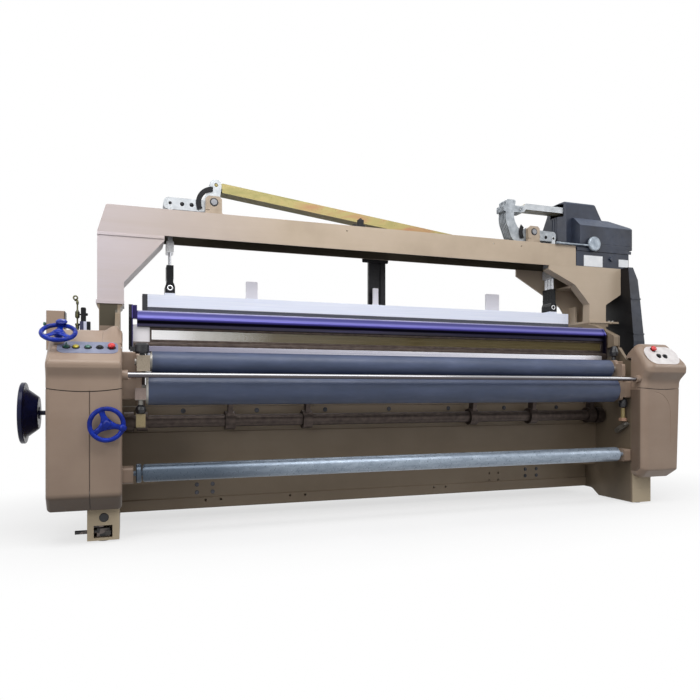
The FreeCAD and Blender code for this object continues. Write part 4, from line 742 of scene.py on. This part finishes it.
# ------------------------------------------------------------------ side boxes and frame
def round_the_box(box, radius, back, height):
    """Stations round the front of a side box, from one side face to the other."""
    x0, x1 = box
    corner_steps, front_steps = 8, 24
    out = [(x0, back, -1, 0)]
    for cx, start in ((x0 + radius, 180), (x1 - radius, 270)):
        for k in range(corner_steps + 1):
            t = math.radians(start + 90 * k / corner_steps)
            out.append((cx + radius * math.cos(t), BOX_FRONT + radius * (1 + math.sin(t)),
                        math.cos(t), math.sin(t)))
        if start == 180:
            flat = (x1 - x0 - 2 * radius) / front_steps
            out += [(x0 + radius + flat * k, BOX_FRONT, 0, -1) for k in range(1, front_steps)]
    out.append((x1, back, 1, 0))
    return [(at(x, y, height(x)), Vector((nx, ny, 0)), UP) for x, y, nx, ny in out]


def cover_seals():
    """Dark seals let into the grooves between hood, cover and door. The seams under the
    hoods hang lowest in the middle of their box."""
    seam, edge, thick = 1.7, 0.9, 1.2      # half widths, and how deep a seal lies
    form = Form("plastic")
    form.strip(round_the_box(LEFT_BOX, 24, 240, lambda x: 847 + 23 * ((x + 1997.5) / 222.5) ** 2),
               seam, thick)
    form.strip(round_the_box(RIGHT_BOX, 54, -60, lambda x: 862 + 16 * ((x - 1987.5) / 212.5) ** 2),
               seam, thick)
    # Down the door's edge and round its lower bend: y, z and the outward direction.
    bend = ((BOX_FRONT, 846, -1, 0), (BOX_FRONT, 292, -1, 0), (-122.5, 278, -0.97, -0.24),
            (-116, 264, -0.8, -0.6), (-66, 202, -0.7, -0.7))
    form.strip([(at(-1970, y, z), Vector((0, out_y, out_z)), RIGHT) for y, z, out_y, out_z in bend],
               edge, thick)
    form.finish("cover_seals", "frame", "black_plastic")


def hood_fairing():
    """Raised fairing on the hood's inner corner, round the stool of the gantry: a skin
    that swells from the sloping hood, with its rim sunk below the hood all round."""
    left, right, front, height = -1912, -1804.5, 30, 29
    slope_length, rows, row_pitch = 130, 15, 16
    crest, last, fall, column_pitch = 11, 18, 5, 5.72      # columns: full, ended, falling
    sunk = 8
    n = last + 4                           # columns with the sunk rims at both sides
    skin = []
    for row in range(-1, rows):
        y = front + row_pitch * row if row >= 0 else front - 1
        foot = min(on_face(0, y, LEFT_FACE)[0].z * 1000, HOOD_TOP) - 0.4
        if row < 0:
            # A sunk row closes the front edge.
            skin += [at(left - 1 + 5.2 * j, y, foot - sunk) for j in range(n)]
            continue
        skin.append(at(left - 1.5, y, foot - sunk))
        rise = height * eased((y - front) / slope_length)
        for j in range(last + 1):
            swell = eased(min(j / crest, (last - j) / fall))
            skin.append(at(left + column_pitch * j, y, foot + rise * swell))
        skin += [at(right, y, foot - 14), at(right, y, foot - 60)]
    rings = [[n * k + j, n * k + j + 1, n * k + n + j + 1, n * k + n + j]
             for k in range(rows) for j in range(n - 1)]
    form = Form("cover")
    form.faces(skin, rings, 0, True)
    piece = form.finish("hood_fairing", "frame", "beige_paint")
    piece.modifiers.new("Wall", "SOLIDIFY").thickness = 0.003


def girder_plates():
    """Turned-up lip on the middle girder, behind the rollers, and the corner plates that
    join the girders to the side frames behind the cloth roller."""
    form = Form("casting")
    form.slab(rounded(3638, 50, 2), at(0, 404.5, 779), RIGHT, UP, 4)
    for x in (-1709, 1709):
        form.slab(rounded(220, 134, 8), at(x, 405, 327), RIGHT, UP, 5)
    form.finish("girder_plates", "frame", "beige_paint", 1.0)


def post_stay():
    """Web that closes the slot between the legs of the guide post, and the clamp and
    stud of its stay on top of the beam."""
    form = Form("black")
    form.slab(rounded(56, 790, 2), at(39.5, 742, 1480), RIGHT, UP, 3)
    form.slab(rounded(92, 16, 4), at(-205, 492, 2038), RIGHT, UP, 30)
    form.slab(rounded(44, 44, 6), at(-190, 490, 2062), RIGHT, UP, 24)
    form.turned(at(-190, 478, 2086), UP, [(-4, 0), (-4, 13), (2, 13), (4, 8), (9, 8), (10, 0)], 12)
    form.finish("post_stay", "frame", "black_paint", 1.5)


# ------------------------------------------------------------------ handwheels and buttons
def towards(out, angle):
    """Direction in a wheel's plane, at an angle in degrees from the right."""
    t = math.radians(angle)
    return RIGHT * math.cos(t) + out.cross(RIGHT) * math.sin(t)


def spoke(form, middle, out, along, rim):
    """Dished spoke with an oval section that widens into the hub and into the rim. A
    station is how far out it lies, its half width and its lift; all in millimetres."""
    stations = ((14, 28, 4), (28, 21, 1), (46, 15, -2), (64, 15, -2), (rim, 21, 0))
    oval = ((-1, 0), (-0.7, 0.8), (0, 1), (0.7, 0.8), (1, 0), (0.7, -0.8), (0, -1), (-0.7, -0.8))
    half_thick = 6
    across = out.cross(along)
    points = [middle + (along * reach + across * width * u + out * (lift + half_thick * v)) * 0.001
              for reach, width, lift in stations for u, v in oval]
    n = len(oval)
    rings = [[n * k + j, n * k + (j + 1) % n, n * k + n + (j + 1) % n, n * k + n + j]
             for k in range(len(stations) - 1) for j in range(n)]
    rings += [list(range(n)), list(range(len(points) - n, len(points)))[::-1]]
    form.faces(points, rings, 0, True)


def full_wheel(name, body, node, middle, out, rim, spokes, knob_at, stem, knob):
    """Cast handwheel: round rim, three spokes, a domed hub, a stem behind and a turned
    knob on a boss. Spokes and knob stand at angles; stem is length and radius, knob is
    length, neck and head."""
    bar = 12.5                             # radius of the rim's round section
    reach, thick = stem
    form = Form("wheel")
    form.turned(middle, out, [(bar * math.sin(math.radians(t)), rim - bar * math.cos(math.radians(t)))
                              for t in range(0, 360, 30)], 56)
    form.turned(middle, out, [
        (-reach, 0), (-reach, thick), (-30, thick), (-26, 21), (-8, 29), (2, 28), (9, 22), (14, 15),
        (16, 8), (16, 0)], 32)
    for angle in spokes:
        spoke(form, middle, out, towards(out, angle), rim)
    length, neck, head = knob
    form.turned(middle + towards(out, knob_at) * rim * 0.001, out, [
        (-10, 0), (-10, 15), (8, 17), (13, 12), (15, neck * 0.5), (length * 0.5 + 8, neck * 0.55),
        (length * 0.6 + 9, head - 2), (length + 4, head), (length + 10, head - 5), (length + 13, 0)], 28)
    piece = form.finish(name, body, "wheel_blue")
    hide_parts(node)


def button_bezels():
    """Rings round the buttons, wide enough to clear the caps when pressed."""
    form = Form("plastic", "bright")
    mushroom, key = (13.0, 23, 2.6), (15.8, 21, 4.0)       # inner and outer radius, height
    right_mushroom, right_key = (15.0, 22, 2.6), (14.8, 20, 4.0)
    for face, x, y, (inner, outer, top) in (
            (LEFT_FACE, -2094, -25, key), (LEFT_FACE, -2046, -25, key),
            (LEFT_FACE, -1984.3, -25, key), (LEFT_FACE, -1922.7, -25, key),
            (LEFT_FACE, -1861, -25, mushroom), (RIGHT_FACE, 1925, -87, right_mushroom),
            (RIGHT_FACE, 1944, -125, right_key), (RIGHT_FACE, 2001, -127, right_key)):
        point, out = on_face(x, y, face)
        form.turned(point, out, [(0.7, inner), (0.7, outer), (top - 0.8, outer - 1), (top, outer - 3),
                                 (top, inner)], 28)
    form.finish("button_bezels", "frame", "black_plastic")


# ------------------------------------------------------------------ shedding motion
def crank_buffers():
    """Black rubber buffers, bent round the crank shafts in front of the first lever,
    between two angles each."""
    outer, inner, step = 116, 82, 6        # radii, and degrees between points
    for name, first, last in (("left", 92, 206), ("right", 148, 212)):
        x, z = SHAFTS[name]
        arc = [(r * math.cos(math.radians(t)), r * math.sin(math.radians(t)))
               for r, turns in ((outer, range(first, last + 1, step)), (inner, range(last, first - 1, -step)))
               for t in turns]
        form = Form("plastic")
        form.slab(arc, at(x, 573, z), RIGHT, UP, 6)
        form.finish(name + "_buffer", "frame", "black_plastic", 1.5)


def shed_pins(number):
    """Rings and caps on one heald shaft's pins, and plugs through its levers' holes."""
    tag, y = "ab"[number % 2], FIRST_SHED + SHED_PITCH * number
    half_rod, lever = 8.3, 6.8             # thicknesses along Y
    form = Form("bright", "plastic")
    for x in TIE_RODS:
        foot, top = at(x, y - half_rod, BALL_JOINT), at(x, y - half_rod, STRAP_PIN)
        form.turned(foot, FRONT, [(0, 11), (0, 20), (1.2, 19.4), (1.2, 11.6)], 24)
        form.turned(foot, FRONT, [(0, 0), (0, 9), (1.0, 8.4), (1.0, 0)], 18, 1)
        form.turned(top, FRONT, [(0, 0), (0, 11), (1.2, 10), (1.2, 0)], 18, 1)
    form.finish("ball_joint_rings_%d" % (number + 1), "shed_" + tag, "zinc_steel")
    for side, holes in LEVER_HOLES.items():
        plugs = Form("plastic")
        for x, z in holes:
            plugs.turned(at(x, y + lever / 2, z), FRONT, [(0, 0), (0, 13.6), (lever, 13.6), (lever, 0)], 20)
        plugs.finish("%s_lever_plugs_%d" % (side, number + 1), CRANK_BODY[side] + tag, "black_plastic")


# ------------------------------------------------------------------ weft guides
def guide_details():
    """Eye, clamps and sensor screw of the weft guides, and the knob of the junction box, with a black side
    plate on the junction box that is a sheet of painted shade."""
    post_x = -2073
    form = Form("guide", "plastic", "green")
    form.turned(at(-2084, GUIDE_Y, 1433), BACK, [(-5, 7), (-7, 10), (-5, 16), (5, 16), (7, 10), (5, 7)], 24)
    form.turned(at(post_x, GUIDE_Y, 1408), UP, [(-16, 0), (-16, 7), (-4, 9), (6, 6), (6, 0)], 16)
    form.turned(at(post_x, GUIDE_Y, 1331), UP, [
        (-26, 0), (-26, 9), (-18, 14), (14, 14), (20, 8), (26, 7), (26, 0)], 12)
    form.turned(at(post_x, GUIDE_Y, 1232), UP, [
        (-50, 0), (-50, 16), (-20, 16), (-8, 9), (24, 9), (30, 14), (40, 14), (44, 0)], 12)
    form.turned(at(-2022, GUIDE_Y, 1331), RIGHT, [(-2, 0), (-2, 9), (6, 9), (10, 6), (10, 0)], 18, 1)
    # Black plate on the junction box's right side: a sheet of painted shade.
    form.slab(rounded(114, 238, 2), at(-2141.5, 483, 1220), BACK, UP, 2.5, 1)
    form.turned(at(-2243, 470, 1262), -RIGHT, [
        (-1, 0), (-1, 7), (8, 7), (9, 12), (19, 12), (22, 8), (22, 0)], 20, 2)
    form.finish("guide_details", "frame", "black_plastic", 0.6)


# ------------------------------------------------------------------ repeated parts
def open_tree(name, result, sockets):
    """An empty geometry tree with named inputs and one result; also gives its inputs."""
    tree = bpy.data.node_groups.new(name, "GeometryNodeTree")
    for label, kind in sockets:
        tree.interface.new_socket(label, in_out="INPUT", socket_type="NodeSocket" + kind)
    tree.interface.new_socket(result, in_out="OUTPUT", socket_type="NodeSocketGeometry")
    return tree, add(tree, "NodeGroupInput").outputs


def close_tree(tree, placed, material):
    """Makes the placed instances real, gives them their material and passes them out."""
    real = add(tree, "GeometryNodeRealizeInstances", {0: placed.outputs[0]})
    done = add(tree, "GeometryNodeSetMaterial", {"Geometry": real.outputs[0], "Material": material})
    add(tree, "NodeGroupOutput", {0: done.outputs[0]})
    return tree


def bolt_tree():
    """Geometry nodes: a hexagon head on a washer at every point, turned to face along
    the point's own direction and scaled by its own size."""
    tree, given = open_tree("Bolts on points", "Bolts", (
        ("Points", "Geometry"), ("Head radius", "Float"), ("Head height", "Float"), ("Sides", "Int"),
        ("Material", "Material")))
    washer_radius, washer_height, head_depth = (
        add(tree, "ShaderNodeMath", {0: given[size], 1: share}, operation="MULTIPLY").outputs[0]
        for size, share in (("Head radius", 1.3), ("Head height", 0.5), ("Head height", 2.0)))
    head = add(tree, "GeometryNodeMeshCylinder", {
        "Vertices": given["Sides"], "Radius": given["Head radius"], "Depth": head_depth})
    washer = add(tree, "GeometryNodeMeshCylinder", {
        "Vertices": 14, "Radius": washer_radius, "Depth": washer_height})
    both = add(tree, "GeometryNodeJoinGeometry", {0: head.outputs["Mesh"]})
    tree.links.new(washer.outputs["Mesh"], both.inputs[0])
    facing = add(tree, "GeometryNodeInputNamedAttribute", {"Name": "facing"}, data_type="FLOAT_VECTOR")
    size = add(tree, "GeometryNodeInputNamedAttribute", {"Name": "size"}, data_type="FLOAT")
    turn = add(tree, "FunctionNodeAlignRotationToVector", {"Vector": facing.outputs["Attribute"]}, axis="Z")
    placed = add(tree, "GeometryNodeInstanceOnPoints", {
        "Points": given["Points"], "Instance": both.outputs[0], "Rotation": turn.outputs[0],
        "Scale": size.outputs["Attribute"]})
    return close_tree(tree, placed, given["Material"])


def dent_tree():
    """Geometry nodes: thin flat wires in an even row along X."""
    tree, given = open_tree("Dents in a row", "Dents", (
        ("Points", "Geometry"), ("Count", "Int"), ("Pitch", "Vector"), ("Start", "Vector"),
        ("Wire", "Vector"), ("Material", "Material")))
    row = add(tree, "GeometryNodeMeshLine", {
        "Count": given["Count"], "Start Location": given["Start"], "Offset": given["Pitch"]})
    wire = add(tree, "GeometryNodeMeshCube", {"Size": given["Wire"]})
    placed = add(tree, "GeometryNodeInstanceOnPoints", {
        "Points": row.outputs[0], "Instance": wire.outputs[0]})
    return close_tree(tree, placed, given["Material"])


def grown(name, tree, inputs, body, points=(), replaces=()):
    """Runs a geometry tree once and keeps its result as a plain mesh on a body. A point
    is a place, a direction and a size."""
    data = bpy.data.meshes.new(name)
    data.from_pydata([place for place, _, _ in points] or [(0, 0, 0)], [], [])
    if points:
        data.attributes.new("facing", "FLOAT_VECTOR", "POINT")
        data.attributes.new("size", "FLOAT", "POINT")
        for k, (_, direction, scale) in enumerate(points):
            data.attributes["facing"].data[k].vector = direction
            data.attributes["size"].data[k].value = scale
    piece = bpy.data.objects.new(name, data)
    bpy.context.scene.collection.objects.link(piece)
    modifier = piece.modifiers.new(tree.name, "NODES")
    modifier.node_group = tree
    for item in tree.interface.items_tree:
        if item.in_out == "INPUT" and item.name in inputs:
            modifier[item.identifier] = inputs[item.name]
    graph = bpy.context.evaluated_depsgraph_get()
    plain = bpy.data.meshes.new_from_object(piece.evaluated_get(graph))
    piece.modifiers.clear()
    plain.name = name
    piece.data = plain
    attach(piece, body)
    for node in replaces:
        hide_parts(node)


# ------------------------------------------------------------------ stage
def shown_rays(tree):
    """1 for the rays that show the backdrop: straight, mirrored or through glass."""
    rays = add(tree, "ShaderNodeLightPath").outputs
    value = rays["Is Camera Ray"]
    for kind in ("Is Glossy Ray", "Is Transmission Ray"):
        value = add(tree, "ShaderNodeMath", {0: value, 1: rays[kind]}, operation="MAXIMUM").outputs[0]
    return value


def studio_paper():
    """Pale paper floor that fades to the white backdrop away from the machine. It
    throws little light back up, so that the undersides stay as deep as a lit hall
    leaves them."""
    paper = Finish("Pale paper floor", "#E9E9EA", 0.85)
    tree = paper.tree
    tone = paper.cloudy(900.0, "#ECECED", "#F3F3F4")
    paper.grain(6.0, 0.03)
    seen = shown_rays(tree)
    paper.put("Base Color", paper.over("#8C8B8A", tone, seen))
    place = add(tree, "ShaderNodeMapping", {"Vector": paper.place, "Scale": (0.45, 1.0, 1.0)}).outputs[0]
    away = add(tree, "ShaderNodeVectorMath", {0: place, 1: (0.0, 0.1, 0.0)}, operation="DISTANCE")
    fade = add(tree, "ShaderNodeMapRange", {
        "Value": away.outputs["Value"], "From Min": 0.9, "From Max": 1.9, "To Min": 0.66, "To Max": 1.0},
        interpolation_type="SMOOTHSTEP").outputs[0]
    factor = add(tree, "ShaderNodeMath", {0: seen, 1: fade}, operation="MULTIPLY").outputs[0]
    glow = add(tree, "ShaderNodeEmission", {"Color": (1, 1, 1, 1), "Strength": 1.0}).outputs[0]
    blend = add(tree, "ShaderNodeMixShader", {0: factor, 1: paper.shader.outputs[0], 2: glow})
    tree.links.new(blend.outputs[0], paper.output.inputs["Surface"])
    return paper.material


def lay_floor(scene):
    reach = scene.loom_sizes.floor_reach
    data = bpy.data.meshes.new("studio_floor")
    data.from_pydata([(-reach, -reach, 0), (reach, -reach, 0), (reach, reach, 0), (-reach, reach, 0)],
                     [], [(0, 1, 2, 3)])
    data.materials.append(studio_paper())
    floor = bpy.data.objects.new("studio_floor", data)
    scene.collection.objects.link(floor)


def light_world(scene):
    """White where it is seen, and a weak even light on the machine."""
    world = bpy.data.worlds.new("Studio")
    world.use_nodes = True
    tree = world.node_tree
    tree.nodes.clear()
    sky, white = (add(tree, "ShaderNodeBackground", {"Color": (1, 1, 1, 1), "Strength": level}).outputs[0]
                  for level in (0.26, 1.0))
    mix = add(tree, "ShaderNodeMixShader", {0: shown_rays(tree), 1: sky, 2: white})
    add(tree, "ShaderNodeOutputWorld", {"Surface": mix.outputs[0]})
    scene.world = world


def hang_lamps(scene):
    for name, place, target, watts, (width, depth) in LAMPS:
        lamp = bpy.data.lights.new(name, "AREA")
        lamp.shape = "RECTANGLE"
        lamp.size = width
        lamp.size_y = depth
        lamp.energy = watts
        holder = bpy.data.objects.new(name, lamp)
        holder.location = place
        aim = Vector(target) - Vector(place)
        holder.rotation_euler = aim.to_track_quat("-Z", "Y").to_euler()
        scene.collection.objects.link(holder)


def set_camera(scene):
    view = bpy.data.cameras.new("Camera")
    view.sensor_width = 36.0
    view.lens = CAMERA_LENS
    view.shift_y = HORIZON_PX / PICTURE_PX
    view.clip_end = 200.0
    camera = bpy.data.objects.new("Camera", view)
    camera.location = CAMERA_PLACE
    camera.rotation_euler = (math.radians(90.0), 0.0, math.radians(CAMERA_TURN))
    scene.collection.objects.link(camera)
    scene.camera = camera


# ------------------------------------------------------------------ settings
class LoomColours(bpy.types.PropertyGroup):
    """Enamel colours"""
    # The three beige enamels are one paint; the darker colours of the castings and covers are painted shade.
    casting: bpy.props.StringProperty(
        name="Castings", description="Enamel on the side frames and girders, sRGB hex", default="#8A7B69")
    cover: bpy.props.StringProperty(
        name="Covers", description="Enamel on the side covers, sRGB hex", default="#9D8878")
    gantry: bpy.props.StringProperty(
        name="Gantry", description="Enamel on the beam, post and bracket, sRGB hex", default="#B9A894")
    wheel: bpy.props.StringProperty(
        name="Handwheels", description="Gloss enamel on the small handwheels, sRGB hex", default="#082796")
    dish: bpy.props.StringProperty(
        name="Drive handwheel", description="Gloss enamel on the dished handwheel, sRGB hex",
        default="#0B1033")


class LoomSizes(bpy.types.PropertyGroup):
    """Sizes of what the scene adds"""
    dent_pitch: bpy.props.FloatProperty(
        name="Dent pitch", description="Spacing of the reed's wires, coarser than real so that they show",
        default=0.003, min=0.002, unit="LENGTH")
    dent_depth: bpy.props.FloatProperty(
        name="Dent depth", description="Depth of one wire from front to back", default=0.010, unit="LENGTH")
    bolt_radius: bpy.props.FloatProperty(
        name="Bolt head", description="Radius of an M16 hexagon head over its corners",
        default=0.0137, unit="LENGTH")
    floor_reach: bpy.props.FloatProperty(
        name="Floor reach", description="Half the width of the studio floor", default=60.0, unit="LENGTH")


# ------------------------------------------------------------------ operators
class LOOM_OT_stage(bpy.types.Operator):
    """Pale studio floor, soft lamps and the camera"""
    bl_idname = "loom.stage"
    bl_label = "Stage and camera"

    def execute(self, context):
        scene = context.scene
        scene.view_settings.view_transform = "Standard"
        lay_floor(scene)
        light_world(scene)
        hang_lamps(scene)
        set_camera(scene)
        return {"FINISHED"}


class LOOM_OT_enamel(bpy.types.Operator):
    """Sprayed enamel on the frames, the gantry and the side covers"""
    bl_idname = "loom.enamel"
    bl_label = "Enamelled pieces"

    def execute(self, context):
        dress("casting", "left_side_frame", "right_side_frame", "cross_girders", "middle_girder")
        dress("cover", "left_hood", "left_cover", "left_door", "right_hood", "right_cover",
              "roller_brackets", "junction_box")
        dress("channel", "top_beam")
        dress("gantry", "left_post", "right_bracket")
        dress("black", "guide_post")
        dress("dark_steel", "levelling_feet")
        dress("steel", "fasteners")
        cover_seals()
        hood_fairing()
        girder_plates()
        post_stay()
        return {"FINISHED"}


class LOOM_OT_housings(bpy.types.Operator):
    """Slate dobby and drive housings with their blank labels"""
    bl_idname = "loom.housings"
    bl_label = "Dobby and drive housings"

    def execute(self, context):
        dress("slate", "dobby_case", "dobby_cover")
        dress("column", "drive_cover")
        dress("mottled", "levelling_lever")
        form = Form("label")
        for x0, x1, z0, z1 in ((1745, 1932, 1872, 1961), (2097, 2196, 1886, 1948)):
            form.slab(rounded(x1 - x0, z1 - z0, 3.0), at((x0 + x1) / 2, 454.9, (z0 + z1) / 2), RIGHT, UP, 0.8)
        form.finish("blank_labels", "frame", "panel_white")
        return {"FINISHED"}


class LOOM_OT_rollers(bpy.types.Operator):
    """Rubber, zinc and chrome on the rollers and the front rail"""
    bl_idname = "loom.rollers"
    bl_label = "Rollers and rail"

    def execute(self, context):
        dress("press", "press_roller")
        dress("takeup", "takeup_roller")
        dress("cloth", "cloth_roller")
        dress("rail", "front_rail")
        dress("chrome", "back_rest_roller")
        dress("beam", "warp_beam")
        dress("adjuster", "pressure_adjusters")
        return {"FINISHED"}


class LOOM_OT_sley(bpy.types.Operator):
    """Sley, its reed of separate wires and the violet reed cap"""
    bl_idname = "loom.sley"
    bl_label = "Sley and reed"

    def execute(self, context):
        dress("sley", "sley_beam")
        dress("purple", "reed_cap")
        sizes = context.scene.loom_sizes
        low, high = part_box("reed")
        middle = (low + high) / 2
        length, height = high.x - low.x, high.z - low.z
        # In millimetres: bars above and below the dents, plates at the ends; the dents
        # start and end clear of the plates and reach into the bars.
        baulk, cheek = 16, 11
        first, room, wire = 0.016, length - 0.03, 0.0008
        grown("reed_dents", dent_tree(), {
            "Count": int(room / sizes.dent_pitch), "Pitch": (sizes.dent_pitch, 0, 0),
            "Start": (low.x + first, middle.y, middle.z),
            "Wire": (wire, sizes.dent_depth, height - 0.02), "Material": MATERIALS["reed"]},
            "sley", replaces=("reed",))
        form = Form("sley", "reed")
        for z in (low.z + baulk / 2000, high.z - baulk / 2000):
            form.slab(rounded(baulk, baulk, 3), Vector((low.x, middle.y, z)), BACK, UP, length * 1000)
        for x in (low.x, high.x - cheek / 1000):
            centre = Vector((x, middle.y, middle.z))
            form.slab(rounded(20, height * 1000, 3), centre, BACK, UP, cheek)
        # Plate that carries the left end of the reed.
        form.slab(rounded(104, 104, 4), at(-1700, 251, 1203), RIGHT, UP, 5, 1)
        form.finish("reed_baulks", "sley", "mirror_steel")
        # Strip along the front of the sley, under the reed; its near-white tones are in part a painted
        # highlight.
        bar = Form("strip")
        bar.slab(rounded(3400, 32, 5), at(0, 196.3, 1106), RIGHT, UP, 3)
        bar.finish("sley_strip", "sley", "zinc_steel", 0.8)
        return {"FINISHED"}


class LOOM_OT_shedding(bpy.types.Operator):
    """Heald shafts, tie rods, levers and bars"""
    bl_idname = "loom.shedding"
    bl_label = "Shedding motion"

    def execute(self, context):
        for tag in "ab":
            dress("white", "heald_frames_" + tag)
            dress("tie", "tie_rods_" + tag)
            dress("lever", "left_cranks_" + tag)
            dress("forged", "right_cranks_" + tag)
            dress("link", "link_bars_" + tag)
        dress("lever", "dobby_rods_a")
        dress("link", "dobby_rods_b")
        dress("bearing", "crank_bearings")
        crank_buffers()
        for number in range(SHEDS):
            shed_pins(number)
        return {"FINISHED"}


class LOOM_OT_controls(bpy.types.Operator):
    """Key plates, switches and handwheels"""
    bl_idname = "loom.controls"
    bl_label = "Controls and handwheels"

    def execute(self, context):
        dress("blue_plate", "left_panel")
        dress("white_plate", "right_panel")
        dress("red", "stop_button", "right_stop_button")
        dress("yellow", "yellow_button")
        dress("green", "green_button", "selector_switch")
        dress("plastic", "black_button", "right_start_button", "right_jog_button")
        dress("dish", "main_handwheel")
        face, out = on_face(-2135, 18, LEFT_FACE)
        full_wheel("top_wheel_casting", "top_wheel", "top_handwheel", face + out * 0.062, out,
                   86, (85, 211, 321), 83, (84, 11), (17, 26, 31))
        full_wheel("front_wheel_casting", "front_wheel", "front_handwheel", at(-1884, -165, 669), FRONT,
                   85.5, (110, -13, 217), -13, (245, 11), (21, 15, 20))
        button_bezels()
        return {"FINISHED"}


class LOOM_OT_small_units(bpy.types.Operator):
    """Foot valve, weft guides and release lever"""
    bl_idname = "loom.small_units"
    bl_label = "Small units"

    def execute(self, context):
        dress("valve", "foot_valve")
        dress("guide", "weft_guides")
        dress("steel", "release_lever")
        guide_details()
        return {"FINISHED"}


class LOOM_OT_fixings(bpy.types.Operator):
    """Hexagon bolts on the girders"""
    bl_idname = "loom.fixings"
    bl_label = "Fixings"

    def execute(self, context):
        girder_holes = 2 * 1820 / 7.6      # spacing of the holes in the middle girder
        points = [(at(x, 528, z), FRONT, 0.8) for x in (-1338, -1234, 1234, 1338) for z in (172, 224)]
        points += [(at(girder_holes * k, 404, 722), FRONT, 0.9) for k in range(-3, 4)]
        grown("girder_bolts", bolt_tree(), {
            "Head radius": context.scene.loom_sizes.bolt_radius, "Head height": 0.008, "Sides": 6,
            "Material": MATERIALS["dark_steel"]}, "frame", points=points)
        return {"FINISHED"}


STEPS = (LOOM_OT_stage, LOOM_OT_enamel, LOOM_OT_housings, LOOM_OT_rollers, LOOM_OT_sley,
         LOOM_OT_shedding, LOOM_OT_controls, LOOM_OT_small_units, LOOM_OT_fixings)


class LOOM_PT_panel(bpy.types.Panel):
    """Lists the loom's pieces in the order they are made"""
    bl_idname = "LOOM_PT_panel"
    bl_label = "Power Loom"
    bl_space_type = "VIEW_3D"
    bl_region_type = "UI"
    bl_category = "Loom"

    def draw(self, context):
        layout = self.layout
        for group in (context.scene.loom_colours, context.scene.loom_sizes):
            for name in group.__annotations__:
                layout.prop(group, name)
        for step in STEPS:
            layout.operator(step.bl_idname)


CLASSES = (LoomColours, LoomSizes) + STEPS + (LOOM_PT_panel,)


def register():
    for item in CLASSES:
        bpy.utils.register_class(item)
    bpy.types.Scene.loom_colours = bpy.props.PointerProperty(type=LoomColours)
    bpy.types.Scene.loom_sizes = bpy.props.PointerProperty(type=LoomSizes)


def unregister():
    del bpy.types.Scene.loom_sizes
    del bpy.types.Scene.loom_colours
    for item in reversed(CLASSES):
        bpy.utils.unregister_class(item)


def main():
    register()
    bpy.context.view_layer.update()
    make_materials()
    for step in STEPS:
        area, name = step.bl_idname.split(".")
        getattr(getattr(bpy.ops, area), name)()


if __name__ == "__main__":
    main()
